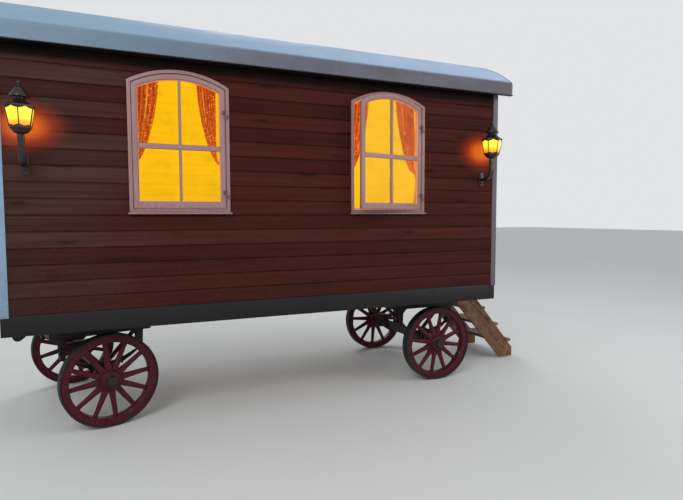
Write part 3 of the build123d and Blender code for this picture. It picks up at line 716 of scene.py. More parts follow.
def wire_grain(g: Graph, inputs: Sequence[Socket]) -> dict[str, Socket]:
    """Wood grain along the first coordinate: broad streaks, fine fibre and sparse knots.

    Args:
        g: The group's graph.
        inputs: Its inputs.

    Returns:
        Its outputs by name.
    """
    vector = inputs["Vector"]
    wander = g.noise(g.stretch(vector, (1.1, 6, 6)), 1.0, 2.0)
    sway = g.add("ShaderNodeCombineXYZ", {1: g.times(wander, 0.02), 2: g.times(wander, 0.03)}).outputs[0]
    bent = g.add("ShaderNodeVectorMath", {0: vector, 1: sway}, operation="ADD").outputs[0]
    streaks = g.noise(g.stretch(bent, (0.9, 42, 42)), 1.0, 5.0, 0.6)
    fibre = g.noise(g.stretch(bent, (7, 420, 420)), 1.0, 3.0, 0.6)
    cell = g.add("ShaderNodeTexVoronoi", {"Vector": g.stretch(vector, (1.6, 7.5, 7.5)), "Scale": 1.0},
                 feature="F1")
    knot = g.span(cell.outputs["Distance"], 0.05, 0.17, 1.0, 0.0)
    depth = g.minus(g.plus(g.times(streaks, 0.6), g.times(fibre, 0.4)), g.times(knot, 0.3))
    return {"Streaks": g.span(streaks, 0.3, 0.72), "Fibre": fibre, "Knots": knot,
            "Halo": g.span(cell.outputs["Distance"], 0.1, 0.34, 1.0, 0.0), "Height": depth}


def wire_wear(g: Graph, inputs: Sequence[Socket]) -> dict[str, Socket]:
    """A broken mask along edges that wear.

    Args:
        g: The group's graph.
        inputs: Its inputs.

    Returns:
        Its outputs by name.
    """
    patch, chip = g.noise(inputs["Vector"], 9.0, 5.0, 0.65), g.noise(inputs["Vector"], 60.0, 3.0, 0.6)
    total = g.times(inputs["Edge"], g.plus(g.times(patch, 0.65), g.times(chip, 0.35)))
    limit = g.minus(0.62, g.times(inputs["Amount"], 0.4))
    return {"Mask": g.math("DIVIDE", g.minus(total, limit), 0.12, clamp=True)}


def wire_grime(g: Graph, inputs: Sequence[Socket]) -> dict[str, Socket]:
    """Soft mottling, streaks that run down, and dust that thickens towards a low height.

    Args:
        g: The group's graph.
        inputs: Its inputs.

    Returns:
        Its outputs by name.
    """
    vector = inputs["Vector"]
    height = g.axes(vector)[2]
    fade = g.math("DIVIDE", g.minus(inputs["High"], height), g.minus(inputs["High"], inputs["Low"]), clamp=True)
    return {"Mottle": g.span(g.noise(vector, 2.3, 5.0, 0.6), 0.3, 0.7),
            "Runs": g.span(g.noise(g.stretch(vector, (17, 17, 0.7)), 1.0, 3.0), 0.5, 0.78),
            "Dust": g.times(fade, g.span(g.noise(vector, 38.0, 4.0, 0.7), 0.35, 0.65))}


def wire_weave(g: Graph, inputs: Sequence[Socket]) -> dict[str, Socket]:
    """A plain weave: two sets of rounded threads, one over the other in turn.

    Args:
        g: The group's graph.
        inputs: Its inputs.

    Returns:
        Its outputs by name.
    """
    u, v, _ = g.axes(inputs["Vector"])
    warp, weft = (g.math("SINE", g.times(t, inputs["Threads"])) for t in (u, v))
    slub = g.noise(g.stretch(inputs["Vector"], (90, 12, 40)), 1.0, 2.0)
    return {"Height": g.plus(g.times(g.times(warp, weft), 0.5), g.times(slub, 0.8)), "Slub": slub}


class Effect(Enum):
    """Shader node groups that several finishes share: how each is wired, and its plain inputs' first values."""

    WOOD_GRAIN = (wire_grain, {})
    EDGE_WEAR = (wire_wear, {"Edge": 0.0, "Amount": 0.5})
    GRIME = (wire_grime, {"Low": 0.0, "High": 1.0})
    PLAIN_WEAVE = (wire_weave, {"Threads": 3000.0})

    def tree(self) -> bpy.types.NodeTree:
        """The group, made at its first use.

        Returns:
            The group.
        """
        wire, inputs = self.value
        name = self.name.lower()
        if name in bpy.data.node_groups:
            return bpy.data.node_groups[name]
        tree = bpy.data.node_groups.new(name, "ShaderNodeTree")
        tree.interface.new_socket("Vector", in_out="INPUT", socket_type="NodeSocketVector")
        for key, value in inputs.items():
            tree.interface.new_socket(key, in_out="INPUT", socket_type="NodeSocketFloat").default_value = value
        graph = Graph(tree)
        outputs = wire(graph, graph.add("NodeGroupInput").outputs)
        for key in outputs:
            tree.interface.new_socket(key, in_out="OUTPUT", socket_type="NodeSocketFloat")
        graph.add("NodeGroupOutput", outputs)
        return tree


@dataclass(frozen=True)
class Finish:
    """A finish: its name, the record's slot, and plain shader settings."""

    name: str
    slot: str
    roughness: float = 0.5
    metallic: float = 0.0
    bump: float = 0.2
    bump_depth: float = 0.002
    specular: float = 0.5

    def material(self) -> bpy.types.Material:
        """The finish as a material, made at its first use.

        Returns:
            The material.
        """
        material = bpy.data.materials.get(self.name)
        if material is None:
            material = bpy.data.materials.new(self.name)
            material.use_nodes = True
            graph = Graph(material.node_tree)
            shader = material.node_tree.nodes["Principled BSDF"]
            plain = {"Metallic": self.metallic, "Specular IOR Level": self.specular}
            for key, value in {**plain, **self.dress(graph)}.items():
                graph.put(shader.inputs[key], value)
        return material

    def dress(self, g: Graph) -> dict[str, object]:
        """Wires the finish, and gives the shader's sockets their links and constants."""
        raise NotImplementedError

    def towards(self, g: Graph, place: Socket, ends: Sequence[Colour], until: float = 2.1) -> Socket:
        """A colour that changes evenly from the towed end to the door end.

        Args:
            g: The material's graph.
            place: Object coordinates.
            ends: The two colours.
            until: X at which the second is reached.

        Returns:
            The colour.
        """
        return g.mix(g.span(g.axes(place)[0], -2.9, until), *ends)

    def surface(self, g: Graph, mask: object, swing: float, height: Socket) -> dict[str, Socket]:
        """Roughness that moves about its middle with a mask, and bump from a height.

        Args:
            g: The material's graph.
            mask: Where it is rougher.
            swing: How far the roughness moves each way.
            height: The bump's height.

        Returns:
            The two sockets' links.
        """
        rough = g.span(mask, 0.0, 1.0, self.roughness - swing, self.roughness + swing)
        bump = g.add("ShaderNodeBump", {"Strength": self.bump, "Distance": self.bump_depth, "Height": height})
        return {"Roughness": rough, "Normal": bump.outputs[0]}


@dataclass(frozen=True)
class StainedWood(Finish):
    """Stained boards: two stains by board, quiet grain, knots, worn edges and grey weathering.

    Painted lantern light: boards within reach of a lit lantern glow by emission. The rows under the eaves are
    darkened by a painted eave shadow, with some soot.
    """

    dark: Colour = (36, 17, 14)
    red: Colour = (68, 25, 19)
    grey: Colour = (66, 43, 37)
    worn: Colour = (104, 74, 60)
    weathering: float = 0.7
    streaks: float = 0.38
    # Heights over which the painted eave shadow, with some soot, sets in.
    eave: tuple[float, float] = (2.935, 2.985)
    # Painted lantern light: where the lanterns stand, and the colours of their glow on the boards.
    lanterns: tuple[tuple[float, float, float], ...] = ()
    glow: Colour = (255, 118, 24)
    far_glow: Colour = (206, 66, 30)
    squat: float = 1.45

    def dress(self, g: Graph) -> dict[str, object]:
        """Wires the boards' finish.

        Args:
            g: The material's graph.

        Returns:
            The shader's sockets.
        """
        place, tone = g.place(), g.attribute("tone")
        grain = g.effect(Effect.WOOD_GRAIN, Vector=g.grain())
        grime = g.effect(Effect.GRIME, Vector=place, Low=0.9, High=2.0)
        wear = g.effect(Effect.EDGE_WEAR, Vector=place, Edge=g.attribute("edge"), Amount=0.5)
        x, y, z = g.axes(place)
        end = g.span(x, -2.6, -0.9, self.weathering, 0.0)
        grey = g.plus(g.plus(g.times(tone, 0.45), end), g.times(grime["Mottle"], 0.3))
        wood = g.mix(g.span(grey, 0.4, 1.2), self.red, self.grey)
        wood = g.mix(g.span(grain["Streaks"], 0.0, 1.0, 0.0, self.streaks), wood, self.dark)
        wood = g.toned(g.span(tone, 0.0, 1.0, 0.8, 1.2), wood)
        wood = g.mix(g.span(grain["Fibre"], 0.5, 0.8, 0.0, 0.22), wood, self.dark)
        wood = g.coats(wood, (grain["Halo"], 0.2, self.dark), (grain["Knots"], 0.7, (20, 11, 9)),
                       (wear["Mask"], 0.4, self.worn), (grime["Dust"], 0.12, (96, 74, 62)))
        # Painted eave shadow, with some soot: the top rows of the long walls darken towards black.
        eave_shadow_and_soot = g.times(g.span(g.math("ABSOLUTE", y), 1.01, 1.03), g.span(z, *self.eave, 0.0, 0.85))
        return {"Base Color": g.mix(eave_shadow_and_soot, wood, (12, 9, 9)),
                **self.surface(g, grain["Streaks"], 0.08, grain["Height"]), **self.painted_lantern_light(g, place, wood)}

    def painted_lantern_light(self, g: Graph, place: Socket, wood: Socket) -> dict[str, object]:
        """Painted lantern light: the lanterns' glow as emission on the boards, which falls off smoothly with
        the distance from each, sooner upwards.

        Args:
            g: The material's graph.
            place: Object coordinates.
            wood: The wood's own colour.

        Returns:
            The emission's link and strength, or nothing without lanterns.
        """
        reach, flat = 0.0, g.stretch(place, (1.0, 1.0, self.squat))
        for spot in self.lanterns:
            away = g.add("ShaderNodeVectorMath", {0: flat, 1: spot}, operation="DISTANCE").outputs["Value"]
            reach = g.plus(reach, g.math("POWER", g.span(away, 0.02, 0.36, 1.0, 0.0), 1.3))
        if not self.lanterns:
            return {}
        tint = g.mix(g.span(reach, 0.3, 0.9), self.far_glow, self.glow)
        return {"Emission Color": g.mix(reach, (0, 0, 0), g.mix(0.3, tint, g.toned(5.0, wood), "MULTIPLY")),
                "Emission Strength": 1.0}


@dataclass(frozen=True)
class PaintedWood(Finish):
    """Brushed paint on wood: faint grain, soft dirt, runs, worn edges, and painted warm light next to lit
    glass.
    """

    paint: Colour = (172, 178, 188)
    # Colour towards the door end; the trim uses it for painted shade.
    rear: Colour | None = None
    dirt: Colour = (118, 112, 108)
    bare: Colour = (120, 96, 78)
    wear_share: float = 0.35
    low: float = 0.9
    high: float = 1.6
    # Painted cabin light: the band of the grain's second coordinate that glows warm.
    lit: tuple[float, float] | None = None

    def dress(self, g: Graph) -> dict[str, object]:
        """Wires the paint's finish.

        Args:
            g: The material's graph.

        Returns:
            The shader's sockets.
        """
        place, along = g.place(), g.grain()
        grain = g.effect(Effect.WOOD_GRAIN, Vector=along)
        grime = g.effect(Effect.GRIME, Vector=place, Low=self.low, High=self.high)
        wear = g.effect(Effect.EDGE_WEAR, Vector=place, Edge=g.attribute("edge"), Amount=self.wear_share)
        # Towards the door end the paint turns to the rear colour: painted shade on the trim.
        paint = self.towards(g, place, (self.paint, self.rear or self.paint))
        paint = g.toned(g.span(g.attribute("tone"), 0.0, 1.0, 0.88, 1.1), paint)
        paint = g.coats(paint, (grime["Mottle"], 0.22, self.dirt), (grime["Runs"], 0.2, self.dirt))
        paint = g.mix(g.span(grain["Streaks"], 0.2, 1.0, 0.0, 0.14), paint, self.dirt)
        sockets = {"Base Color": g.coats(paint, (grime["Dust"], 0.45, self.dirt),
                                         (wear["Mask"], 0.7, self.bare)),
                   **self.surface(g, grime["Mottle"], 0.1, grain["Height"])}
        # Painted cabin light on the paint next to the glass, as a warm emission.
        if self.lit is not None:
            inset = g.axes(along)[1]
            sockets |= {"Emission Color": g.mix(g.span(inset, *self.lit), (0, 0, 0), (222, 124, 40)),
                        "Emission Strength": 0.8}
        return sockets


@dataclass(frozen=True)
class PaintedSheet(Finish):
    """Smooth painted sheet or steel: soft mottling, orange-peel surface, runs, dust and rubbed edges."""

    paint: Colour = (190, 203, 221)
    # rear and skirts: on the roof, painted sky light towards the door end and painted shade on the skirts.
    rear: Colour | None = None
    skirts: tuple[Colour, Colour] | None = None
    shade: Colour = (150, 166, 188)
    rubbed: Colour = (90, 92, 96)
    dust: Colour = (122, 106, 90)
    dust_share: float = 0.2
    wear_share: float = 0.3
    mottle: float = 0.45
    runs: float = 0.25
    low: float = 0.0
    high: float = 1.0
    peel: float = 140.0

    def dress(self, g: Graph) -> dict[str, object]:
        """Wires the sheet's finish.

        Args:
            g: The material's graph.

        Returns:
            The shader's sockets.
        """
        place = g.place()
        grime = g.effect(Effect.GRIME, Vector=place, Low=self.low, High=self.high)
        wear = g.effect(Effect.EDGE_WEAR, Vector=place, Edge=g.attribute("edge"), Amount=self.wear_share)
        # Towards the door end the paint turns to the rear colour: on the roof, painted sky light.
        paint = self.towards(g, place, (self.paint, self.rear or self.paint))
        paint = g.toned(g.span(g.attribute("tone"), 0.0, 1.0, 0.8, 1.2), paint)
        # Painted shade on the roof's skirts: below the barrel they take their own darker colours, which change
        # along the roof.
        if self.skirts is not None:
            paint = g.mix(g.span(g.axes(place)[2], 3.165, 3.2), self.towards(g, place, self.skirts, 0.4), paint)
        paint = g.coats(paint, (grime["Mottle"], self.mottle, self.shade),
                        (grime["Runs"], self.runs, self.shade), (grime["Dust"], self.dust_share, self.dust),
                        (wear["Mask"], 0.7, self.rubbed))
        return {"Base Color": paint,
                **self.surface(g, g.noise(place, 6.0, 4.0), 0.12, g.noise(place, self.peel, 2.0, 0.5))}


@dataclass(frozen=True)
class GlowingBoards(Finish):
    """Inside boards with painted lamp light: they glow warm as though lit by the cabin's lamps, brighter higher
    up, with painted shade at their rounded edges and joints.
    """

    wood: Colour = (150, 104, 20)
    glow: Colour = (255, 200, 4)
    strength: float = 0.94

    def dress(self, g: Graph) -> dict[str, object]:
        """Wires the lit boards' finish.

        Args:
            g: The material's graph.

        Returns:
            The shader's sockets.
        """
        grain = g.effect(Effect.WOOD_GRAIN, Vector=g.grain())
        mark = g.times(grain["Streaks"], 0.12)
        wood = g.toned(g.span(g.attribute("tone"), 0.0, 1.0, 0.9, 1.08), g.mix(mark, self.wood, (110, 70, 14)))
        # Painted shade: the glow darkens at the boards' rounded edges and joints.
        glow_shaded_at_joints = g.coats(g.mix(mark, self.glow, (226, 150, 8)), (g.attribute("edge"), 0.5, (120, 66, 6)))
        # Painted lamp light: the glow is brighter higher up.
        lit = g.toned(g.span(g.axes(g.place())[2], 1.0, 2.3, 0.6, 1.0), glow_shaded_at_joints)
        return {"Base Color": wood, "Emission Color": lit, "Emission Strength": self.strength,
                **self.surface(g, grain["Streaks"], 0.08, grain["Height"])}


@dataclass(frozen=True)
class PrintedCloth(Finish):
    """Curtain cloth with a plain weave and a scattered print, with painted backlight: it glows as though lit
    from the cabin behind it, and its folds carry painted shade.
    """

    ground: Colour = (206, 90, 12)
    print_a: Colour = (138, 38, 6)
    print_b: Colour = (250, 166, 48)
    strength: float = 0.78
    # Where across the cloth the upright band of painted light lies.
    thin: float = 0.345

    def dress(self, g: Graph) -> dict[str, object]:
        """Wires the cloth's finish; along one upright fold, where its sheet is one layer, painted light glows
        brighter.

        Args:
            g: The material's graph.

        Returns:
            The shader's sockets.
        """
        flat = g.grain()
        weave = g.effect(Effect.PLAIN_WEAVE, Vector=flat, Threads=2600.0)
        sockets = {"Vector": g.stretch(flat, (22, 44, 22)), "Scale": 1.0, "Randomness": 0.9}
        spot = g.add("ShaderNodeTexVoronoi", sockets, feature="F1").outputs["Distance"]
        waves = {"Vector": flat, "Scale": 6.0, "Distortion": 9.0, "Detail": 2.0}
        petals = g.add("ShaderNodeTexWave", waves).outputs["Fac"]
        motif, ringed = g.span(spot, 0.28, 0.36, 1.0, 0.0), g.span(spot, 0.46, 0.54, 1.0, 0.0)
        cloth = g.mix(g.times(g.span(petals, 0.62, 0.74), 0.55), self.ground, self.print_a)
        cloth = g.coats(cloth, (g.minus(ringed, motif), 0.7, self.print_a), (motif, 0.75, self.print_b))
        cloth = g.toned(g.span(weave["Slub"], 0.3, 0.7, 0.86, 1.12), cloth)
        # Painted shade: the folds set back from the window are darker.
        fold_shaded = g.toned(g.span(g.attribute("edge"), 0.0, 1.0, 1.12, 0.42), cloth)
        # Painted light: an upright band of the cloth glows brighter.
        across = g.math("ABSOLUTE", g.minus(g.axes(flat)[0], self.thin))
        painted_slit_glow = g.times(g.span(across, 0.006, 0.02, 1.0, 0.0),
                         g.span(g.noise(flat, 3.0, 1.0), 0.35, 0.6, 0.3, 0.9))
        return {"Base Color": cloth, "Emission Color": g.mix(painted_slit_glow, fold_shaded, self.print_b),
                "Emission Strength": self.strength, "Sheen Weight": 0.08, "Sheen Roughness": 0.5,
                **self.surface(g, weave["Slub"], 0.05, weave["Height"])}


@dataclass(frozen=True)
class LitPanes(Finish):
    """Amber lantern panes, bright in the middle of their height and darker at the rims."""

    core: Colour = (255, 216, 52)
    rim: Colour = (240, 150, 10)
    low: float = PLAN.lantern_low
    high: float = PLAN.lantern_high
    strength: float = 1.15

    def dress(self, g: Graph) -> dict[str, object]:
        """Wires the lit glass.

        Args:
            g: The material's graph.

        Returns:
            The shader's sockets.
        """
        place = g.place()
        height, seeds = g.axes(place)[2], g.noise(place, 34.0, 3.0)
        up = g.span(height, self.low, self.low + 0.08)
        down = g.span(height, self.high - 0.02, self.high + 0.01, 1.0, 0.3)
        lit = g.times(g.times(up, down), g.span(seeds, 0.3, 0.7, 0.75, 1.0))
        glow = g.mix(lit, self.rim, self.core)
        return {"Base Color": glow, "Emission Color": g.toned(g.span(lit, 0, 1, 0.45, 1.0), glow),
                "Emission Strength": self.strength, "Coat Weight": 0.6, **self.surface(g, seeds, 0.1, seeds)}


@dataclass(frozen=True)
class ClearGlass(Finish):
    """Window glass: clear, faintly uneven and smeared."""

    tint: Colour = (236, 242, 238)

    def dress(self, g: Graph) -> dict[str, object]:
        """Wires the glass.

        Args:
            g: The material's graph.

        Returns:
            The shader's sockets.
        """
        place = g.place()
        smear = g.span(g.noise(place, 7.0, 5.0, 0.65), 0.45, 0.8)
        return {"Base Color": g.mix(smear, self.tint, (222, 230, 226)), "Transmission Weight": 1.0, "IOR": 1.12,
                **self.surface(g, smear, 0.02, g.noise(place, 3.2, 2.0))}


@dataclass(frozen=True)
class OldBrass(Finish):
    """Dull brass with brown tarnish."""

    def dress(self, g: Graph) -> dict[str, object]:
        """Wires the brass.

        Args:
            g: The material's graph.

        Returns:
            The shader's sockets.
        """
        place = g.place()
        tarnish = g.span(g.noise(place, 26.0, 5.0, 0.65), 0.35, 0.7)
        return {"Base Color": g.mix(tarnish, (192, 152, 88), (96, 68, 38)),
                **self.surface(g, tarnish, 0.15, g.noise(place, 90.0, 3.0))}


# Painted lantern light: the spots round which the boards glow.
LANTERN_SPOTS = tuple((x + PLAN.shift_x, side * (PLAN.half_y + 0.03), 2.455 * StainedWood.squat)
                      for x in (-PLAN.lantern_x, PLAN.lantern_x) for side in BOTH)
BOARDS = StainedWood("stained_boards", "boards", roughness=0.62, specular=0.08, bump=0.4, bump_depth=0.003,
                     lanterns=LANTERN_SPOTS)
STEP_BOARDS = StainedWood("step_boards", "step_wood", roughness=0.66, specular=0.25, bump=0.5, bump_depth=0.004,
                          streaks=0.6, dark=(58, 36, 24), red=(118, 78, 52), grey=(112, 92, 76),
                          worn=(150, 128, 108))
FLOOR_BOARDS = StainedWood("floor_boards", "floor_wood", roughness=0.5, bump=0.4, bump_depth=0.003, streaks=0.6,
                           dark=(96, 58, 30), red=(160, 106, 62), grey=(150, 108, 70), worn=(176, 132, 92),
                           weathering=0.0)
# Painted lamp light: the lining glows as though the cabin's lamps lit it.
LINING = GlowingBoards("lit_lining", "floor_wood", roughness=0.5, bump=0.3, bump_depth=0.002)
# Painted light: the trim's blue tint is painted sky light, and its darker mauve-grey door end is painted shade.
TRIM = PaintedWood("white_trim", "white_paint", roughness=0.45, specular=0.3, bump=0.25, bump_depth=0.0015,
                   paint=(132, 160, 184), rear=(98, 84, 94), dirt=(96, 98, 104))
# Painted cabin light: FRAME_PAINT's lit band is on the casement's inner edge next to the glass.
FRAME_PAINT = PaintedWood("window_paint", "white_paint", roughness=0.42, specular=0.3, bump=0.25,
                          bump_depth=0.0015, paint=(162, 127, 126), dirt=(112, 82, 80), low=1.8, high=2.1,
                          lit=(0.0745, 0.079))
# Painted cabin light on the frame's rebate below the open casement.
OPEN_FRAME_PAINT = replace(FRAME_PAINT, name="open_window_paint", lit=(0.0265, 0.029))
HINGE_PAINT = replace(FRAME_PAINT, name="hinge_paint", paint=(112, 84, 84), lit=None)
DOOR_PAINT = PaintedWood("door_paint", "white_paint", roughness=0.45, bump=0.3, bump_depth=0.002,
                         paint=(166, 172, 180), low=1.1, high=1.6)
# Painted light: the roof's blue tint and its lighter door end are painted sky light, and its darker skirts
# painted shade.
ROOF_PAINT = PaintedSheet("roof_paint", "roof_white", roughness=0.5, specular=0.2, bump=0.04, bump_depth=0.002,
                          paint=(122, 152, 175), rear=(170, 192, 221), skirts=((110, 136, 154), (90, 84, 90)),
                          shade=(126, 144, 166), mottle=0.25, runs=0.1, dust_share=0.1, wear_share=0.1, low=3.0,
                          high=3.4)
STEEL = PaintedSheet("sooty_steel", "black_steel", roughness=0.5, specular=0.3, bump=0.25, bump_depth=0.001,
                     paint=(17, 15, 16), shade=(27, 23, 22), rubbed=(84, 68, 58), dust_share=0.2, high=0.9)
LANTERN_METAL = PaintedSheet("lantern_metal", "lantern_black", roughness=0.3, metallic=0.35, bump=0.3,
                             bump_depth=0.001, paint=(38, 27, 26), shade=(58, 44, 46), rubbed=(140, 96, 66),
                             dust_share=0.0, wear_share=0.45)
MAROON = PaintedWood("maroon_paint", "maroon_wood", roughness=0.45, specular=0.15, bump=0.3, bump_depth=0.002,
                     paint=(78, 23, 33), dirt=(50, 24, 28), bare=(112, 62, 54), wear_share=0.4, low=0.0,
                     high=0.5)
TYRE = PaintedSheet("tyre_band", "rubber", roughness=0.66, specular=0.2, bump=0.5, bump_depth=0.002,
                    paint=(40, 38, 43), shade=(30, 29, 33), rubbed=(72, 68, 68), dust=(86, 76, 68),
                    dust_share=0.4, high=0.3, peel=70.0)
CURTAIN = PrintedCloth("orange_print", "curtain", roughness=0.85, specular=0.1, bump=0.35, bump_depth=0.0006)
FAR_CURTAIN = replace(CURTAIN, name="brown_print", ground=(150, 92, 34), print_a=(88, 44, 22),
                      print_b=(206, 160, 60), strength=0.4)
GLASS = ClearGlass("window_glass", "glass", roughness=0.02, specular=0.1, bump=0.02, bump_depth=0.001)
AMBER = LitPanes("lit_amber", "lantern_amber", roughness=0.25, bump=0.15, bump_depth=0.001)
BRASS = OldBrass("old_brass", "rod_brass", roughness=0.36, metallic=1.0, bump=0.1, bump_depth=0.001)


def shown(name: str, data: object) -> bpy.types.Object:
    """A new object in the scene, at the origin.

    Args:
        name: Its name.
        data: Its data.

    Returns:
        The object.
    """
    thing = bpy.data.objects.new(name, data)
    bpy.context.scene.collection.objects.link(thing)
    return thing


class Workshop:
    """Makes finished objects out of skins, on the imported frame."""

    def __init__(self, loaded: dict) -> None:
        """Keeps the frame's nodes."""
        self.nodes = loaded["nodes"]

    def piece(self, name: str, skin: Skin, finish: Finish, node: str = "", body: str = "hut",
              move: Callable[[np.ndarray], np.ndarray] | None = None, sharp: float = 38.0) -> bpy.types.Object:
        """Makes one piece of the hut from a skin.

        Args:
            name: The piece's name.
            skin: Its points and faces.
            finish: Its finish.
            node: The CAD node that it stands for.
            body: The CAD body it moves with.
            move: Carries its points to hut coordinates, where they aren't in them.
            sharp: Edges that turn by more degrees than this stay sharp.

        Returns:
            The new object, at the origin.
        """
        points = np.concatenate(skin.points)
        points = shifted(points if move is None else move(points), x=PLAN.shift_x)
        mesh = bpy.data.meshes.new(name)
        mesh.from_pydata(points.tolist(), [], skin.faces)
        form = bmesh.new()
        form.from_mesh(mesh)
        bmesh.ops.recalc_face_normals(form, faces=form.faces)
        form.to_mesh(mesh)
        form.free()
        for key, kind, field, values in (("tone", "FLOAT", "value", skin.tone),
                                         ("edge", "FLOAT", "value", skin.edge),
                                         ("grain", "FLOAT_VECTOR", "vector", skin.grain)):
            attribute = mesh.attributes.new(key, kind, "POINT")
            attribute.data.foreach_set(field, np.concatenate(values).astype(np.float32).ravel())
        mesh.shade_smooth()
        mesh.set_sharp_from_angle(angle=math.radians(sharp))
        mesh.materials.append(finish.material())
        thing = shown(name, mesh)
        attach(thing, body)
        if node:
            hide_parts(node)
        LOG.info("%s: %d points, rides on %s", name, len(points), body)
        return thing

    def refinish(self, node: str, finish: Finish) -> None:
        """Gives a CAD node that is shown as it is its finish.

        Args:
            node: The node.
            finish: The finish.
        """
        mesh = self.nodes[node].data
        mesh.materials.clear()
        mesh.materials.append(finish.material())
        LOG.info("%s keeps its solid, in %s", node, finish.name)


@dataclass
class BoardedWall:
    """Boards on a wall, worked out in wall coordinates: along the wall, outwards from it, and up."""

    face: float
    thickness: float = 0.028
    round_over: float = 0.009
    groove: float = 0.009
    groove_depth: float = 0.010
    station_gap: float = 0.30
    seed: int = 1

    def profile(self, low: float, high: float,
                extra: Sequence[float]) -> tuple[np.ndarray, np.ndarray, np.ndarray]:
        """Front of one board: a flat face whose two edges are rounded over.

        Args:
            low: Height of the board's lower edge.
            high: Height of the next board's lower edge.
            extra: More heights at which the section needs points.

        Returns:
            Heights, depths behind the face, and edge shares.
        """
        top = high - self.groove
        turn = np.linspace(0, math.pi / 2, 5)
        drop, rise = self.round_over * (1 - np.sin(turn)), self.round_over * (1 - np.cos(turn))
        z = np.concatenate([low + rise, top - rise[::-1], [top + 0.0002, high]])
        depth = np.concatenate([drop, drop[::-1], [self.groove_depth] * 2])
        edge = np.array([0.6, 0.9, 0.8, 0.5, 0.1, 0.1, 0.5, 0.8, 0.9, 0.6, 0.0, 0.0])
        more = [e for e in extra if low + 0.0005 < e < high - 0.0005]
        if not more:
            return z, depth, edge
        heights = np.sort(np.concatenate([z, more]))
        return heights, np.interp(heights, z, depth), np.interp(heights, z, edge)

    def board(self, low: float, high: float, span: Span, extra: Sequence[float], tone: float,
              seed: int) -> Skin:
        """One board between two bounds that may change with height.

        Each point lies at the left bound plus its share of the way to the right one; its depth is the
        profile's plus a soft unevenness along the board. The back is flat.

        Args:
            low: Height of its lower edge.
            high: Height of the next board's lower edge.
            span: Left and right bound along the wall, as functions of height.
            extra: More heights at which the section needs points.
            tone: Shade of the board.
            seed: Seed of its grain and unevenness.

        Returns:
            The board's skin in wall coordinates.
        """
        z, depth, edge = self.profile(low, high, extra)
        left, right = (bound(z) for bound in span)
        count = max(2, int(float((right - left).max()) / self.station_gap) + 1)
        u = left + (right - left) * np.linspace(0, 1, count)[:, None]
        front = coords(u, self.face - depth + 0.0009 * ripple(u, z * 0, seed, 4), z)
        points = np.concatenate([front, coords(u, self.face - self.thickness, z)[:, ::-1]], axis=1)
        offset = np.random.default_rng(seed).uniform(0, 40, 2)
        grain = points[..., [0, 2, 1]] + np.array([*offset, 0.0])
        return Skin().grid(points, caps=Caps.PAIRS, grain=grain, tone=tone,
                           edge=np.concatenate([edge, np.zeros(len(z))]))

    def rows(self, heights: Sequence[float], spans: Callable[[float], list[Span]],
             extra: Sequence[float]) -> Skin:
        """Every board of the wall.

        Args:
            heights: Lower edges of the boards, and the top of the last.
            spans: The bounds of the pieces of a board, from its lower edge.
            extra: Heights at which an opening or the roof's curve needs points.

        Returns:
            The boards' skin in wall coordinates.
        """
        rng, skin = np.random.default_rng(self.seed), Skin()
        for row, (low, high) in enumerate(zip(heights, heights[1:])):
            base = rng.uniform(0, 1)
            for part, span in enumerate(spans(low)):
                tone = float(np.clip(base + rng.uniform(-0.12, 0.12), 0, 1))
                skin.join(self.board(low, high, span, extra, tone, self.seed * 1000 + row * 7 + part))
        return skin


def steady(value: float) -> Bound:
    """A bound that doesn't change with height."""
    return lambda z: np.full(z.shape, value)


def curve_heights(top: float, drop: float, count: int = 14) -> list[float]:
    """Heights that crowd towards the top of a curve: top less drop times a square of an even share."""
    return (top - drop * np.linspace(0, 1, count) ** 2).tolist()


